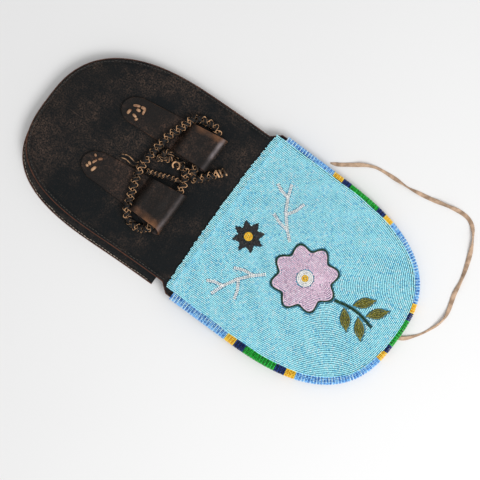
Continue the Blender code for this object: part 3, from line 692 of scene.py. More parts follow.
# Two loose ends side by side, pale along their outer edges; one is shorter
loose_spread_shares = (0.42, 0.2)  # of a strand's width, from the middle line: least and swing
loose_slide_share = 0.12
loose = Form()
loose_line = strand_line(LOOSE_ROUTE, loose_strand)
section, raw = strip_section(loose_strand, knot_thick, strand_bevel * 1.5)
for way, shorter in ((-1, 2), (1, 0)):
    line = []
    for n, point in enumerate(loose_line):
        share = n / (len(loose_line) - 1)
        swing = loose_spread_shares[1] * math.sin(math.pi * share)
        spread = loose_strand * (loose_spread_shares[0] + swing)
        line.append(point + Vector((-loose_slide_share * spread, way * spread, 0)))
    outer = [float(s * way > 0) for s, t in section]
    swept(loose, line[: len(line) - shorter], section, None, outer)
braid_loose_ends = braid_piece(loose, "loose_strands", "braid_loose_ends")

# Lashings round the braid's tail
lashing_places = [1.0 * mm, 5.2 * mm, 8.6 * mm]  # from the end
lashing_width = 1.7 * mm
lashing_thick = 0.9 * mm
lashing_bevel = 0.25 * mm
lashing_slant = 0.9 * mm
lashing_reach_share = 0.98  # of the braid's half width
lashing_steps = 20
lashed = Form()
braid_arc = arc_lengths(braid_line)
section, raw = strip_section(lashing_width, lashing_thick, lashing_bevel)
for from_end in lashing_places:
    n = min(range(len(braid_arc)), key=lambda k: abs(braid_arc[-1] - from_end - braid_arc[k]))
    n = min(max(n, 1), len(braid_line) - 2)
    along, across, over = way_at(braid_line, n)
    ring, ups = [], []
    for turn in all_round(lashing_steps):
        outward = across * math.cos(turn) + over * math.sin(turn)
        reach = braid / 2 * lashing_reach_share
        ring.append(braid_line[n] + outward * reach + along * lashing_slant * math.cos(turn))
        ups.append(outward)
    swept(lashed, ring, section, ups, [1] * len(raw), closed=True)
tail_lashings = braid_piece(lashed, "tail_lashings")

# Tie thong: a flat strip that turns on its edge here and there as it lies on the table
thong_step = 1.8 * mm
thong_turn_shares = [  # of its length, and how far it leans there in radians
    (0.04, 0.5), (0.17, 1.1), (0.31, -0.9), (0.45, 1.2), (0.60, -1.0), (0.74, 1.0), (0.88, -0.8),
]
thong_narrow_shares = [(0.085, 0.42), (0.13, 0.3), (0.73, 0.3), (0.853, 0.3)]
thong_fade_share = 0.035
thong_taper_share = 0.03
thong_end_share = 0.35  # of its size, at its very end
thong_size_shares = (1.05, 0.3)  # of its width: middle and unevenness
thong_wave = 14


def near_shares(share, places):
    """Sum of the values at some shares of the thong's length, each fading to both sides."""
    return sum(v * math.exp(-(((share - at) / thong_fade_share) ** 2)) for at, v in places)


thong_flat = resampled(smooth_route(at_height(THONG_ROUTE, 0), 4), thong_step)
section, raw = strip_section(thong_width, thong_thick, thong_thick / 4)
thong_line, thong_ups, thong_sizes = [], [], []
for n, here in enumerate(thong_flat):
    share = n / (len(thong_flat) - 1)
    lean = near_shares(share, thong_turn_shares)
    uneven = thong_size_shares[1] * noise.noise(Vector((share * thong_wave, 0, 3)))
    size = thong_size_shares[0] + uneven
    size *= min(1.0, thong_end_share + (1 - share) / thong_taper_share)
    size *= 1 - near_shares(share, thong_narrow_shares)
    height = size * (thong_thick * math.cos(lean) + thong_width * abs(math.sin(lean))) / 2
    thong_line.append(here + upward * height)
    thong_ups.append(upward * math.cos(lean) + way_at(thong_flat, n)[1] * math.sin(lean))
    thong_sizes.append(size)
thong_form = Form()
swept(thong_form, thong_line, section, thong_ups, raw, thong_sizes)
tie_thong = under_flap(thong_form.made("thong_strip", thong_finish), "tie_thong")

# Thong's anchor: a lump of the same rawhide, wound and flattened under the tip
anchor_width_share = 0.7  # of the thong's
anchor_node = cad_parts["thong_anchor"]
anchor_corners = [anchor_node.matrix_world @ Vector(corner) for corner in anchor_node.bound_box]
anchor_low = Vector([min(corner[k] for corner in anchor_corners) for k in range(3)])
anchor_high = Vector([max(corner[k] for corner in anchor_corners) for k in range(3)])
anchor_middle = (anchor_low + anchor_high) / 2 - Vector((fold_x, fold_y, 0))
anchored = Form()
wound_knot(
    anchored, anchor_middle, anchor_high - anchor_low, 3, 5, thong_width * anchor_width_share,
    thong_thick,
)
under_flap(anchored.made("anchor_knot", thong_finish), "thong_anchor")

# Outlines of the panels and the flap: the CAD source's own formulas
def rounded_outline(length, round_length, half_width, centre_at, powers, inset, start, steps):
    """Outline of a panel from start to its round end, along one side and back along the other."""
    reach = length - inset
    widest = half_width - inset
    turn = reach - round_length + inset
    straight = [start + (turn - start) * n / steps for n in range(steps)]
    quarter = [math.pi / 2 * n / (2 * steps) for n in range(2 * steps + 1)]
    curved = [turn + (reach - turn) * math.sin(t) for t in quarter]
    first, second = powers
    sheen_side_share = []
    for x in straight + curved:
        share = max(0.0, (x - turn) / (reach - turn))
        sheen_side_share.append((x, widest * max(0.0, 1.0 - share**first) ** (1.0 / second)))
    upper = [(x, centre_at(x) + w) for x, w in sheen_side_share]
    lower = [(x, centre_at(x) - w) for x, w in sheen_side_share]
    return upper + lower[-2::-1]


def body_outline(half_width, shift, inset, start):
    made = rounded_outline(
        body_length, body_round_length, half_width,
        lambda x: body_centre + shift + body_lean * (x / body_length) ** 2,
        body_powers_shares, inset, start, sheet_steps,
    )
    return [(-x, y) for x, y in made]


def flap_outline(inset, start, steps, gain=0.0):
    """The flap's outline, or one that much longer and wider towards its right side."""
    return rounded_outline(
        flap_length + gain, flap_round_length, flap_half_width + gain / 2,
        lambda x: flap_centre + gain / 2, flap_powers_shares, inset, start, steps,
    )


# Leather sheets: rings nested from the middle to the edge, round it and back underneath
sheet_steps = 36
sheet_insets = [n * mm for n in (1.2, 2.2, 3.4, 4.0, 4.4, 4.8, 5.2, 5.8, 7, 9.5, 13, 18, 24, 31, 39, 48,
                                 58, 69, 80)]
rim_steps = 6
rim_round = 0.7 * mm
rim_fade = 2.2 * mm
sheet_sag = 0.45 * mm
sheet_wave = 34.0  # waves of the sagging surface per metre
small_waves = 4  # small waves to each large one
small_sag_share = 0.2
sheet_edge_share = 0.55  # of the raw edge's colour, on the faces next to it
rim_corner_share = 0.3
seam_dip = 0.5 * mm
seam_spread = 0.7 * mm
fold_dip = 1.1 * mm
fold_spread = 5.0 * mm
fold_strip_start = -9.5 * mm
fold_strip_end = 0.4 * mm


def dip_at(x, y, inset=1.0):
    """How far a worn sheet lies below its flat top: soft waves, the seam's groove and the fold."""
    wave = noise.noise(Vector((x * sheet_wave, y * sheet_wave, 4)))
    small = noise.noise(Vector((x * sheet_wave * small_waves, y * sheet_wave * small_waves, 9)))
    seam = seam_dip * math.exp(-(((inset - seam_inset) / seam_spread) ** 2))
    edge = sheet_sag * math.exp(-inset / rim_fade)
    return (
        sheet_sag * (0.5 + 0.5 * wave) + sheet_sag * small_sag_share * small + seam + edge
        + fold_dip * math.exp(-((x / fold_spread) ** 2))
    )


def mouth_ends(rings, wide):
    return [tuple(n * wide + end for n in range(rings)) for end in (0, wide - 1)]


def hide_sheet(name, outline_at, low, high):
    """A closed sheet of hide. outline_at(inset) is a U-shaped line from one mouth corner round."""
    stations = [(inset, 1, 0.0) for inset in reversed(sheet_insets)]
    for n in range(rim_steps + 1):
        turn = math.pi / 2 - math.pi * n / rim_steps
        stations.append((rim_round * (1 - math.cos(turn)), math.sin(turn), 1.0))
    stations += [(inset, -1, 0.0) for inset in sheet_insets]
    middle, half = (low + high) / 2, (high - low) / 2
    rings, tones = [], []
    for inset, side, rim in stations:
        near_edge = math.exp(-inset / rim_fade) * sheet_edge_share
        tone = max(rim * (1 - rim_corner_share * abs(side)), near_edge)
        ring = []
        for x, y in outline_at(inset):
            ring.append((x, y, middle + side * half - dip_at(x, y, inset) * (1 + side) / 2))
            tones.append(tone)
        rings.append(ring)
    wide = len(rings[0])
    faces = quads(len(rings), wide, looped=False)
    tip = wide // 2
    for first in (0, (len(rings) - 1) * wide):
        for k in range(tip - 1):
            other = wide - 1 - k
            faces.append((first + k, first + k + 1, first + other - 1, first + other))
        faces.append((first + tip - 1, first + tip, first + tip + 1))
    form = Form()
    form.add(joined(rings), faces + mouth_ends(len(rings), wide), tones)
    return sound(form.made(name, body_finish))


def back_line(inset):
    return body_outline(back_half_width, 0, inset, -fold_strip_start)


def front_line(inset):
    return body_outline(front_half_width, front_shift, inset, front_setback)


def flap_line(inset):
    return flap_outline(edge_cover + inset, fold_strip_end, sheet_steps)


for name, line_at, low, lay, cad_node in (
    ("pouch_back", back_line, panel_top - leather, on_pouch, "back_panel"),
    ("pouch_front", front_line, 0, on_pouch, "front_panel"),
    ("flap_hide", flap_line, flap_inner, on_flap, "flap_leather"),
):
    lay(hide_sheet(name, line_at, low, low + leather), "pouch_leather", cad_node)

# Gusset: a wall that bulges between the two unlike outlines
gusset_bulge = 1.6 * mm
gusset_wrinkle_share = 0.4  # of the bulge
gusset_wave = 60.0
gusset_steps = 8
gusset_foot = leather + piece_gap
gusset_head = panel_top - leather - piece_gap


def gusset_ring(share, way, inset):
    """A line round one face of the wall, at a share of its height. Way is 1 for the inner face."""
    bulge = gusset_bulge * math.sin(math.pi * share)
    start = front_setback + piece_gap
    low = body_outline(front_half_width, front_shift, inset - bulge, start)
    high = body_outline(back_half_width, 0, inset - bulge, start)
    height = gusset_foot + (gusset_head - gusset_foot) * share
    ring = []
    for (a, b), (c, d) in zip(low, high):
        x, y = a + (c - a) * share, b + (d - b) * share
        wrinkle = 0 if way > 0 else noise.noise(Vector((x * gusset_wave, y * gusset_wave, share * 2)))
        ring.append((x, y, height + wrinkle * gusset_wrinkle_share * bulge))
    return ring


shares = [n / gusset_steps for n in range(gusset_steps + 1)]
wall_rings = [gusset_ring(share, -1, gusset_inset) for share in shares]
wall_rings += [gusset_ring(share, 1, gusset_inset + gusset_wall) for share in reversed(shares)]
count, wide = len(wall_rings), len(wall_rings[0])
wall_faces = quads(count, wide, closed=True, looped=False) + mouth_ends(count, wide)
wall = Form()
wall.add(joined(wall_rings), wall_faces, [0.0] * wide * count)
on_pouch(sound(wall.made("pouch_gusset", body_finish)), "pouch_leather", "gusset")

# Stitches round the panels
stitch_pitch = 3.6 * mm
stitch_length = 2.7 * mm
stitch_thick = 0.9 * mm
stitch_wobble = 0.25 * mm
stitch_sink_share = 0.6  # of its rise, that its ends go in
stitch_steps = 10
stitch_size_shares = (0.55, 0.45)  # of its thickness: at its ends, and what its middle has more
stitch_sides = 6
back_seam_inset = 3.0 * mm
margin_inset = 2.0 * mm


def bent_stitch(form, start, end, rise, thick, tone, flat_share=1.0):
    """A short thread that comes up at one place, bows over and goes down at the other."""
    line, sizes = [], []
    for n in range(stitch_steps + 1):
        share = n / stitch_steps
        arch = math.sin(math.pi * share)
        lift = rise * (arch**0.5 * (1 + stitch_sink_share) - stitch_sink_share)
        line.append(start.lerp(end, share) + upward * lift)
        sizes.append(stitch_size_shares[0] + stitch_size_shares[1] * arch**0.35)
    section = oval(thick, thick * flat_share, stitch_sides)
    swept(form, line, section, None, [tone] * stitch_sides, sizes)


def stitch_row(form, outline, height_at, rise):
    places = resampled([(x, y, 0) for x, y in outline], stitch_pitch)
    for here, after in zip(places[1:-2], places[2:-1]):
        along = (after - here).normalized()
        middle = (here + after) / 2
        wobble = Vector((-along.y, along.x, 0)) * chance.normal(0, stitch_wobble)
        reach = along * stitch_length / 2 * chance.uniform(0.85, 1.1)
        base = middle + wobble + upward * height_at(middle.x, middle.y)
        bent_stitch(form, base - reach, base + reach, rise, stitch_thick, chance.uniform(0, 1))


stitched = Form()
stitch_row(
    stitched, body_outline(back_half_width, 0, back_seam_inset, seam_inset),
    lambda x, y: panel_top - dip_at(x, y, seam_inset) + stitch_thick * 0.3, stitch_thick * 0.5,
)
on_pouch(stitched.made("back_stitches", thread_finish), "waxed_thread", "back_seam_thread")
stitched = Form()
stitch_row(
    stitched,
    body_outline(front_half_width, front_shift, seam_inset, front_setback + seam_inset),
    lambda x, y: stitch_thick * 0.35, -stitch_thick * 0.1,
)
stitch_row(
    stitched,
    body_outline(front_half_width, front_shift, margin_inset, front_setback + margin_inset),
    lambda x, y: leather - dip_at(x, y, margin_inset) + stitch_thick * 0.6, stitch_thick * 0.4,
)
on_pouch(stitched.made("front_stitches", margin_finish), "waxed_thread", "front_seam_thread")

# Fold: the one piece of leather that runs from the back panel into the flap
fold_rows = 26
fold_columns = 120
fold_overlap = 0.6 * mm
fold_skin = 0.05 * mm  # how far it lies inside the faces that it joins
fold_run = fold_strip_end - fold_strip_start
fold_points, fold_tones = [], []
for row in range(fold_rows + 1):
    x = fold_strip_start - fold_overlap + (fold_run + 2 * fold_overlap) * row / fold_rows
    grown = min(1, max(0, (x - fold_strip_start) / fold_run))
    half = back_half_width + (flap_half_width - edge_cover - back_half_width) * grown
    middle = body_centre + (flap_centre - body_centre) * grown
    for side in (1, -1):
        for column in range(fold_columns + 1):
            y = middle + side * half * (1 - 2 * column / fold_columns)
            edge = min(column, fold_columns - column) / fold_columns * 2 * half
            high = panel_top - dip_at(x, y) - fold_skin
            low = panel_top - leather + fold_skin
            thin = rim_round * math.exp(-edge / rim_round)
            fold_points.append((x, y, high - thin if side > 0 else low + thin))
            fold_tones.append(0.8 * math.exp(-edge / rim_fade))
wide = 2 * (fold_columns + 1)
fold_faces = quads(fold_rows + 1, wide)
fold_faces += [tuple(range(first, first + wide)) for first in (0, fold_rows * wide)]
folded = Form()
folded.add(fold_points, fold_faces, fold_tones)
fold_piece = sound(folded.made("fold_leather", body_finish))
fold_piece.location = (fold_x, fold_y, 0)

# Belt loops: one strap each, laced flat at its tip, raised over the tunnel and brought back under
strap_across = 26
strap_rim_steps = 5
strap_rim = 0.8 * mm
strap_least = 0.05 * mm  # half width left at the very tip
strap_edge_fade = 1.0 * mm
loop_spill = {"left": 6.5 * mm, "right": 1.5 * mm}  # the foot stands out past the top at one side
loop_curl = {"left": 2.2 * mm, "right": 0.6 * mm}
loop_worn_side = {"left": -1, "right": 1}
loop_seed = {"left": 3.0, "right": 8.0}
loop_crease = 0.75 * mm
loop_bend_wear = 9.75 * mm
loop_early_ramp = 4.0 * mm  # the leather starts to rise that far before the solid's ramp
crease_wave = 95.0
crease_stretch_share = 0.35  # creases run along the strap's width
patch_wave = 130
patch_shares = (0.75, 0.5)
bare_shares = (0.42, 0.5)  # of the raw colour at an edge: everywhere, and more on the worn side
bend_wear_share = 0.5
curl_from_share = 0.55  # of the half width, where the edge starts to curl up
corner_from_share = 0.35  # of the half width, where the worn corner starts
ramp_start = loop_ramp_x - loop_early_ramp
ramp_run = loop_ramp_length + loop_early_ramp
strap_tip_shares = (0.004, 0.03, 0.08, 0.16, 0.28, 0.42, 0.6, 0.8, 1.0)
flat_steps = 26
ramp_steps = 12
top_steps = 14
bend_steps = 16
foot_steps = 12


def level_line(start, end, height, steps):
    return [(start + (end - start) * n / steps, height) for n in range(1, steps)]


def strap_line():
    """Places (x, z), the way out of the strap's face, how far round the bend, and if at the tip."""
    line = [(loop_tip_x + loop_tip_width / 2 * share, strap_low) for share in strap_tip_shares]
    line += level_line(line[-1][0], ramp_start, strap_low, flat_steps)
    for n in range(ramp_steps + 1):
        rise = (1 - math.cos(math.pi * n / ramp_steps)) / 2
        x = ramp_start + ramp_run * n / ramp_steps
        line.append((x, strap_low + (strap_high - strap_low) * rise))
    line += level_line(ramp_start + ramp_run, strap_bend_x, strap_high, top_steps)
    first_bend = len(line)
    for n in range(bend_steps + 1):
        turn = math.pi * n / bend_steps
        x = strap_bend_x + strap_bend * math.sin(turn)
        line.append((x, strap_low + strap_bend * (1 + math.cos(turn))))
    line += level_line(strap_bend_x, loop_foot_end_x, strap_low, foot_steps)
    line.append((loop_foot_end_x, strap_low))
    places = []
    for n, (x, z) in enumerate(line):
        before, after = line[max(n - 1, 0)], line[min(n + 1, len(line) - 1)]
        run = math.hypot(after[0] - before[0], after[1] - before[1])
        out = (-(after[1] - before[1]) / run, (after[0] - before[0]) / run)
        round_bend = min(1, max(0, (n - first_bend) / bend_steps))
        places.append((x, z, out, round_bend, n < len(strap_tip_shares)))
    return places


def strap_section(half):
    """(across, up, 1 at the rim) round the strap, with 1 and -1 at the faces and the rims' start."""
    section = []
    for way in (1, -1):
        for n in range(strap_across + 1):
            section.append((way * (1 - 2 * n / strap_across), way, 0.0))
        for n in range(1, strap_rim_steps):
            turn = math.pi * n / strap_rim_steps
            section.append((-way * (1 + math.sin(turn) * strap_rim / half), way * math.cos(turn), 1.0))
    return section


def belt_loop(side):
    rings, tones = [], []
    seed = loop_seed[side]
    for x, z, (out_x, out_z), bent, is_tip in strap_line():
        half = strap_half_width(side, x, is_tip)
        middle = strap_middle_y(side, x)
        reach = max(half - strap_rim, strap_least)
        foot = max(0.0, 1 - (loop_fold_x - x) / (loop_fold_x - loop_foot_end_x))
        spill = loop_spill[side] * bent * foot**0.6
        raised = max(0.0, min(1, (z - strap_low) / (strap_high - strap_low)))
        near_bend = math.exp(-(((x - loop_fold_x) / loop_bend_wear) ** 2))
        worn = bend_wear_share * near_bend * raised * (1 - 0.5 * bent)
        ring = []
        for v, w, rim in strap_section(half):
            y = middle + v * reach - (spill if v < 0 else 0) * v**2
            crease = noise.noise(Vector((x * crease_wave, y * crease_wave * crease_stretch_share, seed)))
            crease += 0.5 * noise.noise(Vector((x * crease_wave * 3, y * crease_wave, seed)))
            curl = loop_curl[side] * max(0.0, -v - curl_from_share) ** 2 / 0.2 * raised * (1 - bent)
            lift = w * leather / 2 + crease * loop_crease * (0.25 + 0.75 * raised)
            ring.append((x + out_x * lift, y, z + out_z * lift + curl))
            from_edge = max((1 - abs(v)) * reach, 0)
            outer = max(0.0, v * loop_worn_side[side])
            patch = noise.noise(Vector((x * patch_wave, y * patch_wave, seed + 2)))
            patchy = patch_shares[0] + patch_shares[1] * patch
            bare = patchy * (bare_shares[0] + bare_shares[1] * raised * outer)
            worn_corner = 0.95 * patchy * raised * max(0.0, outer - corner_from_share) / 0.65
            tones.append(max(
                rim * (1 - 0.25 * abs(w)) * bare * 1.6, bare * math.exp(-from_edge / strap_edge_fade),
                worn, worn_corner * (w > 0),
            ))
        rings.append(ring)
    count, wide = len(rings), len(rings[0])
    faces = quads(count, wide)
    faces.append(tuple(range(wide)))
    faces.append(tuple((count - 1) * wide + k for k in reversed(range(wide))))
    form = Form()
    form.add(joined(rings), faces, tones)
    return sound(form.made("strap_" + side, strap_finish))


for side in ("left", "right"):
    on_pouch(belt_loop(side), "strap_leather", "belt_loop_" + side)

# Rawhide stitches at the straps' tips, in mm from the tip along the strap and from its middle
TIP_STITCHES = {
    "left": [(7.5, 8.6, 9.9, 7.2), (7.3, -0.7, 10.1, -3.3), (10.7, -0.3, 12.6, 4.7),
             (6.7, -4.9, 9.4, -5.4), (14.4, -7.4, 15.9, -1.7), (13.5, 5.9, 16.5, 8.5)],
    "right": [(9.3, 2.7, 15.6, 5.1), (16.8, 5.2, 21.5, 5.3), (21.5, 5.3, 22.3, -1.1),
              (9.4, -7.4, 9.9, -2.0), (14.3, 0.8, 18.4, 0.9), (14.0, -5.1, 18.9, -6.4),
              (19.5, -9.6, 20.7, -6.8)],
}
lace_wide = 2.7 * mm
lace_rise = 1.3 * mm
lace_flat_share = 0.6
foot_thread = 0.8 * mm
foot_stitch = 3.2 * mm
foot_pitch = 4.5 * mm
foot_stitch_count = 7
foot_reach = 6.0 * mm
foot_x = loop_foot_end_x + foot_reach
for side in ("left", "right"):
    laced = Form()
    for stitch in TIP_STITCHES[side]:
        ends = []
        for along, across in (stitch[:2], stitch[2:]):
            x = loop_tip_x + along * mm
            ends.append(Vector((x, strap_middle_y(side, x) + across * mm, strap_low + leather / 2)))
        wide = lace_wide * chance.uniform(0.8, 1.15)
        bent_stitch(laced, *ends, lace_rise, wide, 0.5, lace_flat_share)
    on_pouch(laced.made("lace_" + side, lace_finish), "rawhide", "lacing_" + side)
    footed = Form()
    for n in range(foot_stitch_count):
        y = strap_middle_y(side, foot_x) + (n - foot_stitch_count // 2) * foot_pitch
        start = Vector((foot_x, y - foot_stitch / 2, strap_low + leather / 2))
        end = start + Vector((0, foot_stitch, 0))
        bent_stitch(footed, start, end, lace_rise / 2, foot_thread, 0.5)
    on_pouch(footed.made("foot_stitches_" + side, thread_finish), "waxed_thread",
             "foot_thread_" + side)

# Beads: short glass barrels threaded in rows
bead_sides = 8
bead_stations_shares = ((-0.5, 0.60), (-0.27, 1.0), (0.27, 1.0), (0.5, 0.60))
row_pitch = 1.7 * mm
bead_pitch = 1.36 * mm
bead_fill_share = 0.97
bead_unevenness = 0.04
bead_wobble = 0.06 * mm
row_wave = 0.32 * mm
lift_waves = (210, 160, 190, 60)  # per metre, all four of the uneven surface
lift_bend = 1.3
fold_bead_spread = fold_spread * 1.6


def beads(name, finish, centres, along, up, width, length, tones=None):
    """One mesh of many beads. Each has its middle, its thread's way, its own up and a shade."""
    count = len(centres)
    centres, along, up = (np.asarray(rows, float) for rows in (centres, along, up))
    along[np.linalg.norm(along, axis=1) == 0] = [1.0, 0.0, 0.0]
    along /= np.linalg.norm(along, axis=1)[:, None]
    across = np.cross(along, up)
    across /= np.linalg.norm(across, axis=1)[:, None]
    over = np.cross(across, along)
    size = chance.normal(1, bead_unevenness, (count, 1, 1, 1))
    turns = 2 * np.pi * np.arange(bead_sides) / bead_sides + np.pi / bead_sides
    runs = np.array([s for s, r in bead_stations_shares])[None, :, None, None]
    reach = np.array([r for s, r in bead_stations_shares])[None, :, None, None]
    circle = (
        across[:, None, None, :] * np.cos(turns)[None, None, :, None]
        + over[:, None, None, :] * np.sin(turns)[None, None, :, None]
    )
    points = (
        centres[:, None, None, :]
        + along[:, None, None, :] * runs * length
        + circle * reach * (width / 2) * size
    ).reshape(-1, 3)
    rings = len(bead_stations_shares)
    per_bead = rings * bead_sides
    faces = quads(rings, bead_sides)
    faces += [tuple(reversed(range(bead_sides))), tuple(range(per_bead - bead_sides, per_bead))]
    template = np.array([n for face in faces for n in face])
    totals = [len(face) for face in faces]
    starts = np.concatenate([[0], np.cumsum(totals)[:-1]])
    offsets = np.arange(count)[:, None]
    mesh = bpy.data.meshes.new(name)
    mesh.vertices.add(len(points))
    mesh.vertices.foreach_set("co", points.astype(np.float32).ravel())
    mesh.loops.add(count * len(template))
    mesh.loops.foreach_set("vertex_index", (template[None, :] + offsets * per_bead).ravel())
    mesh.polygons.add(count * len(totals))
    mesh.polygons.foreach_set("loop_start", (starts[None, :] + offsets * len(template)).ravel())
    mesh.update(calc_edges=True)
    mesh.polygons.foreach_set("use_smooth", [True] * len(mesh.polygons))
    tone = mesh.attributes.new("tone", "FLOAT", "POINT")
    shades = chance.random(count) if tones is None else np.asarray(tones)
    tone.data.foreach_set("value", np.repeat(shades, per_bead).astype(np.float32))
    mesh.materials.append(finish)
    mesh.validate()
    return new_object(name, mesh)


def row_along(points, pitch=bead_pitch, closed=False):
    """Places of beads along a row, and the way of its thread at each."""
    line = np.asarray([tuple(p)[:2] for p in points])
    if closed:
        line = np.vstack([line, line[:1]])
    legs = np.linalg.norm(np.diff(line, axis=0), axis=1)
    arc = np.concatenate([[0], np.cumsum(legs)])
    count = max(1, int(round(arc[-1] / pitch)))
    at = (np.arange(count) + 0.5) * arc[-1] / count
    places = np.stack([np.interp(at, arc, line[:, n]) for n in (0, 1)], axis=1)
    ahead = np.minimum(at + pitch / 4, arc[-1])
    behind = np.maximum(at - pitch / 4, 0)
    ends = [
        np.stack([np.interp(s, arc, line[:, n]) for n in (0, 1)], axis=1) for s in (behind, ahead)
    ]
    return places, ends[1] - ends[0]


def inside(places, outline):
    """Which places lie inside a closed outline."""
    x, y = places[:, 0], places[:, 1]
    within = np.zeros(len(places), bool)
    for (a, b), (c, d) in zip(outline, outline[1:] + outline[:1]):
        if b == d:
            continue
        crosses = (b > y) != (d > y)
        within ^= crosses & (x < (c - a) * (y - b) / (d - b) + a)
    return within


def bead_lift(places):
    """Beadwork lies a little uneven, and drops into the fold."""
    x, y = places[:, 0], places[:, 1]
    first, second, third, fourth = lift_waves
    wave = np.sin(x * first + lift_bend * np.sin(y * second)) + np.sin(y * third + x * fourth)
    return row_wave * 0.5 * wave / 2 - fold_dip * np.exp(-((x / fold_bead_spread) ** 2))


def laid(name, colour, rows, width):
    """Rows of (places, thread ways) as beads lying on the backing."""
    places = np.vstack([p for p, w in rows])
    ways = np.vstack([w for p, w in rows])
    places = places + chance.normal(0, bead_wobble, places.shape)
    height = bead_bottom + bead / 2 + bead_lift(places) + chance.normal(0, bead_wobble / 2, len(places))
    centres = np.column_stack([places, height])
    along = np.column_stack([ways, np.zeros(len(ways))])
    up = np.tile([0.0, 0.0, 1.0], (len(ways), 1))
    return beads(name, bead_finishes[colour], centres, along, up, width, bead_pitch * bead_fill_share)


def inlaid(name, colour, rows, width, cad_node):
    on_flap(laid(name, colour, rows, width), "beads_" + colour, cad_node)


# Figures in the beadwork: the CAD source's own places
figure_y = -1.0 * mm
figure_gap = 4 * piece_gap
blossom_x = 0.479 * flap_length
blossom_radius = 0.138 * flap_length
blossom_edge = 2.4 * mm
blossom_lobes = 8
lobe_share = 0.12
heart_radius = 0.039 * flap_length
eye_radius = 0.0166 * flap_length
stem_width = 3.0 * mm
stem_length = 0.212 * flap_length
stem_bow = 0.0184 * flap_length
stem_steps = 16
leaf_length = 0.115 * flap_length
leaf_width = 0.048 * flap_length
leaf_heading = math.radians(48)
leaf_spots_shares = {
    "leaf_near_left": 0.25, "leaf_near_right": 0.375, "leaf_far_left": 0.625, "leaf_far_right": 0.75,
}
star_x = 0.152 * flap_length
star_radius = 0.078 * flap_length
star_inner_share = 0.62
star_tips = 8
star_heart = 0.021 * flap_length
twig_width = 2.4 * mm
twig_length = 0.212 * flap_length
twig_spring = (0.3226 * flap_length, 0.092 * flap_length)
TWIG_STROKES = [
    [(0.0, 0.0), (-0.22, 0.20), (-0.45, 0.46), (-0.62, 0.78), (-0.72, 1.05)],
    [(-0.20, 0.18), (-0.46, 0.22), (-0.66, 0.30)],
    [(-0.43, 0.44), (-0.30, 0.64), (-0.24, 0.86)],
    [(-0.60, 0.76), (-0.82, 0.80), (-0.98, 0.88)],
]


def circle(x, y, radius, points=48):
    return [(x + radius * math.cos(t), y + radius * math.sin(t)) for t in all_round(points)]


def rosette(radius, points=240):
    made = []
    for turn in all_round(points):
        reach = radius + blossom_radius * lobe_share * math.cos(blossom_lobes * turn)
        made.append((blossom_x + reach * math.cos(turn), figure_y + reach * math.sin(turn)))
    return made


def star_line(grow):
    made = []
    for n in range(2 * star_tips):
        turn = math.pi * n / star_tips
        reach = (star_radius if n % 2 == 0 else star_radius * star_inner_share) + grow
        made.append((star_x + reach * math.cos(turn), figure_y + reach * math.sin(turn)))
    return made


def leaf_line(name, grow, steps=16):
    share = leaf_spots_shares[name]
    way = -1 if name.endswith("left") else 1
    x, y = stem_at(share)
    y += way * (stem_width / 2 + figure_gap)
    along = (math.cos(leaf_heading), way * math.sin(leaf_heading))
    stations = [n / steps for n in range(steps + 1)]
    spine = [s * (leaf_length + 2 * grow) - grow for s in stations]
    half = [max(0.0, leaf_width / 2 * math.sin(math.pi * s) + grow) for s in stations]
    left, right = (
        [(x + r * along[0] - h * along[1], y + r * along[1] + h * along[0]) for r, h in zip(spine, reach)]
        for reach in (half, [-h for h in half])
    )
    return left + right[::-1]


stem_start = blossom_x + (blossom_radius + blossom_edge) * (1 + lobe_share) + figure_gap


def stem_at(share):
    return stem_start + stem_length * share, figure_y + stem_bow * math.sin(math.pi * share)


def beside(points, reach):
    """The same line moved sideways."""
    made = []
    for n, (x, y) in enumerate(points):
        before, after = points[max(n - 1, 0)], points[min(n + 1, len(points) - 1)]
        run = math.hypot(after[0] - before[0], after[1] - before[1])
        made.append((x - (after[1] - before[1]) / run * reach, y + (after[0] - before[0]) / run * reach))
    return made


def round_line(points, reach):
    return beside(points, reach) + beside(points, -reach)[::-1]


def twig_lines(way):
    return [
        [(twig_spring[0] + twig_length * u, figure_y + way * (twig_spring[1] + twig_length * v))
         for u, v in shares]
        for shares in TWIG_STROKES
    ]


stem_line = [stem_at(n / stem_steps) for n in range(stem_steps + 1)]
reach_past = 0.45 * bead
figures = [
    rosette(blossom_radius),
    rosette(blossom_radius + blossom_edge + piece_gap + reach_past),
    round_line(stem_line, stem_width / 2 + reach_past),
    star_line(reach_past),
]
figures += [leaf_line(name, reach_past) for name in leaf_spots_shares]
figures += [
    round_line(line, twig_width / 2 + reach_past) for way in (-1, 1) for line in twig_lines(way)
]

# Ground rows: nested lines that follow the flap's outline from fold to fold
ground_start = 0.9 * mm
ground_bead = 1.42 * mm
field_gain = 3.1 * mm  # the edge beadwork is narrower round the tip and on the left
ground_bands = 5
drift_wave = 150  # per metre along the rows
drift_step = 0.35  # from each row to the next
drift_shares = np.array([[0.3], [1.0]])
field_half_width = flap_half_width + field_gain / 2 - field_inset
row_count = round(field_half_width / row_pitch)
ground_pitch = field_half_width / row_count


def ground_line(k, steps=sheet_steps):
    return flap_outline(field_inset + (k + 0.5) * ground_pitch, ground_start, steps, field_gain)


ground = []
for k in range(row_count):
    places, ways = row_along(ground_line(k))
    keep = ~np.any([inside(places, outline) for outline in figures], axis=0)
    drift = row_wave * np.sin(places[:, 0] * drift_wave + k * drift_step) * drift_shares
    ground.append((places[keep] + drift.T[keep], ways[keep]))
most = sum(len(places) for places, ways in ground) / ground_bands
band, taken, part = [], 0, 1
for row in ground + [None]:
    if row is None or taken >= most:
        inlaid(f"ground_beads_{part}", "turquoise", band, ground_bead, "bead_field")
        band, taken, part = [], 0, part + 1
    if row is not None:
        band.append(row)
        taken += len(row[0])

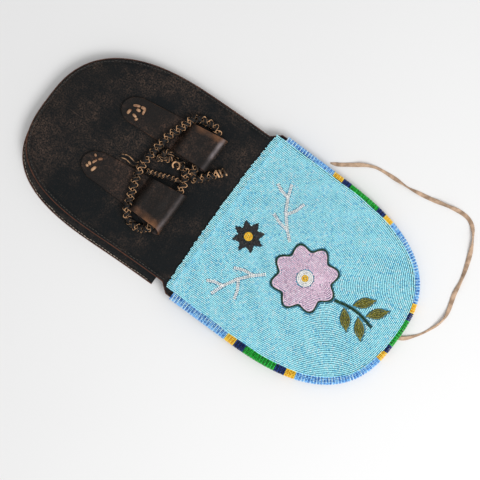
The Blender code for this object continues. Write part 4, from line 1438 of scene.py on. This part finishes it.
# Rows that run on over the fold, to an edge that bows towards the pouch
fold_edge_x = -7.1 * mm
fold_edge_bow = 3.2 * mm
fold_edge_y = 15.0 * mm
fold_edge_reach = 100.0 * mm
fold_edge_ragged = 0.35 * mm
fold_rows_laid = []
for k in range(row_count):
    line = ground_line(k, 2)
    for y in (line[0][1], line[-1][1]):
        bow = fold_edge_bow * ((y - fold_edge_y) / fold_edge_reach) ** 2
        edge_x = fold_edge_x + bow + chance.normal(0, fold_edge_ragged)
        fold_rows_laid.append(row_along([(edge_x, y), (ground_start, y)]))
fold_beads = laid("fold_beads", "turquoise", fold_rows_laid, ground_bead)
fold_beads.location = (fold_x, fold_y, axis_z)


# Figures: outlines in rows of their own, and fillings along the ground's rows
def filled(outline, away):
    """The parts of the ground's own rows that lie inside an outline and outside another."""
    made = []
    for k in range(row_count):
        places, ways = row_along(ground_line(k))
        keep = inside(places, outline) & ~inside(places, away)
        if keep.any():
            made.append((places[keep], ways[keep]))
    return made


def closed_rows(outlines):
    return [row_along(outline, closed=True) for outline in outlines]


def ring_rows(x, inner, outer):
    count = max(1, round((outer - inner) / row_pitch))
    pitch = (outer - inner) / count
    return closed_rows([circle(x, figure_y, inner + (n + 0.5) * pitch) for n in range(count)])


rim_bead = bead * 1.15
petal_fill_inset = bead * 1.05
twig_bead_pitch = bead_pitch * 1.3
rim_middle = blossom_radius + (blossom_edge + piece_gap) / 2
rim_rows = closed_rows([rosette(rim_middle)])
inlaid("rosette_rim", "dark_green", rim_rows, rim_bead, "blossom_outline")
petal_rows = closed_rows([rosette(blossom_radius - bead / 2)])
petal_rows += filled(
    rosette(blossom_radius - petal_fill_inset), circle(blossom_x, figure_y, heart_radius + bead / 2)
)
inlaid("rosette_petals", "lavender", petal_rows, bead, "blossom_petals")
heart_rows = ring_rows(blossom_x, eye_radius, heart_radius)
inlaid("rosette_heart", "white", heart_rows, bead, "blossom_heart")
inlaid("rosette_eye", "gold", ring_rows(blossom_x, 0, eye_radius), bead, "blossom_eye")
stem_rows = [row_along(beside(stem_line, way * stem_width / 4)) for way in (-1, 1)]
inlaid("stem_beads", "dark_green", stem_rows, stem_width / 2, "stem")
for name in leaf_spots_shares:
    insets = [(n + 0.5) * row_pitch for n in range(int(leaf_width / 2 / row_pitch))]
    leaf_rows = closed_rows([leaf_line(name, -inset) for inset in insets])
    inlaid(name + "_beads", "olive", leaf_rows, bead, name)
star_nests = 4
nest_pitch = row_pitch * 0.9
star_rows = closed_rows([star_line(-(n + 0.5) * nest_pitch) for n in range(star_nests)])
star_rows += ring_rows(star_x, star_heart, star_radius * star_inner_share)
inlaid("star_beads", "black", star_rows, bead, "star")
inlaid("star_heart_beads", "gold", ring_rows(star_x, 0, star_heart), bead, "star_heart")
for side, way in (("left", -1), ("right", 1)):
    twig_rows = [
        row_along(beside(line, reach), twig_bead_pitch)
        for line in twig_lines(way)
        for reach in (-twig_width / 3, twig_width / 3)
    ]
    inlaid(f"twig_{side}_beads", "white", twig_rows, bead, "twig_" + side)

# Rolled edge: each row of beads wraps from the top round the edge to the underside
edge_row_pitch = 1.62 * mm
EDGE_BEADS = [
    (7.6, 10.85), (6.0, 11.05), (4.5, 11.15), (3.0, 11.0), (1.7, 10.4), (0.85, 9.2), (0.8, 7.7),
    (1.1, 6.3), (2.2, 5.4), (3.7, 5.35),
]  # mm in from the edge and up from the hinge axis
edge_top_beads = 5
edge_pivot = 4.0  # mm in from the edge, where a leaning row turns
edge_lean = 0.12 * mm
edge_puff = 0.10 * mm
edge_steps = 40
row_shades_shares = ((0.7, 1.0), (0.03, 0.15))  # pale and deep rows by turns
shade_spread_share = 0.12
edge_tilt = 0.1
edge_tilt_share = 0.3
steep_share = 0.7  # of a thread's way that is up or down where the beads' own up is another
steep_up = [1.0, 0.3, 0.0]
narrow_until_shares = (0.53, 0.62)  # of the edge: a row is a bead shorter before each
BORDER_RUNS_SHARES = [
    ("light_blue", 0.1075), ("gold", 0.129), ("navy", 0.1467), ("green", 0.2131),
    ("navy", 0.2318), ("gold", 0.2514), ("light_blue", 0.4187), ("gold", 0.4383),
    ("navy", 0.4542), ("green", 0.5112), ("navy", 0.5271), ("gold", 0.5458),
    ("light_blue", 0.7224), ("gold", 0.743), ("navy", 0.7645), ("green", 0.8318),
    ("navy", 0.8533), ("gold", 0.8738), ("light_blue", 1.0),
]
edge_path = flap_outline(0, border_start, edge_steps)
edge_arc = arc_lengths([(x, y, 0) for x, y in edge_path])
edge_line = np.array(edge_path)


def edge_at(reach):
    return np.array([np.interp(reach, edge_arc, edge_line[:, k]) for k in (0, 1)])


run_start = 0.0
for run, (colour, share) in enumerate(BORDER_RUNS_SHARES, 1):
    run_end = share * edge_arc[-1]
    count = max(1, round((run_end - run_start) / edge_row_pitch))
    centres, ways, shades = [], [], []
    for n in range(count):
        row_shade = chance.uniform(*row_shades_shares[n % 2])
        at = run_start + (run_end - run_start) * (n + 0.5) / count
        left_out = sum(at < narrower * edge_arc[-1] for narrower in narrow_until_shares)
        run_way = edge_at(at + row_pitch) - edge_at(at - row_pitch)
        run_way /= np.linalg.norm(run_way)
        inward = np.array([run_way[1], -run_way[0]])
        lean = run_way * chance.normal(0, edge_lean)
        puff = chance.normal(0, edge_puff)
        row = []
        for k, (p, z) in enumerate(EDGE_BEADS):
            place = edge_at(at) + inward * p * mm + lean * (p - edge_pivot) / edge_pivot
            row.append((*place, z * mm + puff * (k < edge_top_beads)))
        row = np.array(row[left_out:])
        for k, centre in enumerate(row):
            centres.append(centre)
            shades.append(min(1, max(0, row_shade + chance.normal(0, shade_spread_share))))
            ways.append(row[min(k + 1, len(row) - 1)] - row[max(k - 1, 0)])
    ways = np.array(ways)
    tilt = edge_tilt_share * chance.normal(0, edge_tilt, ways.shape)
    up = np.tile([0.0, 0.0, 1.0], (len(ways), 1)) + tilt
    up[np.abs(ways[:, 2]) > steep_share * np.linalg.norm(ways, axis=1)] = steep_up
    name = f"{run:02d}_{colour}"
    length = bead_pitch * bead_fill_share
    piece = beads("edge_" + name, bead_finishes[colour], centres, ways, up, bead, length, shades)
    on_flap(piece, "beads_" + colour, "border_" + name)
    run_start = run_end

# Backing cloth: the CAD node itself, under the beads
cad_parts["bead_backing"].data.materials.clear()
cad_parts["bead_backing"].data.materials.append(cloth_finish)

# Floor and light
floor_size = 3000.0 * mm
lamp_place = (1150.0 * mm, -170.0 * mm, 1350.0 * mm)
lamp_side = 900.0 * mm
lamp_watts = 19.0
sky_strength = 0.62

bpy.ops.mesh.primitive_plane_add(size=floor_size, location=(view_x, view_y, 0))
floor = bpy.context.object
floor.name = "floor"
paper, tree, shader = new_material("pale_floor")
cloud = noise_at(tree, object_place(tree), 3.0, 2.0)
tree.links.new(
    mixed(tree, cloud, (0.83, 0.83, 0.83), (0.86, 0.86, 0.86)), shader.inputs["Base Color"]
)
shader.inputs["Roughness"].default_value = 0.9
floor.data.materials.append(paper)

lamp_data = bpy.data.lights.new("soft_lamp", "AREA")
lamp_data.size = lamp_side
lamp_data.energy = lamp_watts
lamp = new_object("soft_lamp", lamp_data)
lamp.location = lamp_place
aim = Vector((view_x, view_y, 0)) - Vector(lamp_place)
lamp.rotation_euler = aim.to_track_quat("-Z", "Y").to_euler()

world = bpy.data.worlds.new("studio")
world.use_nodes = True
world.node_tree.nodes["Background"].inputs["Color"].default_value = (1.0, 1.0, 1.0, 1.0)
world.node_tree.nodes["Background"].inputs["Strength"].default_value = sky_strength
bpy.context.scene.world = world
bpy.context.scene.view_settings.view_transform = "Standard"

for bent_piece in (fold_piece, fold_beads):
    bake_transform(bent_piece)
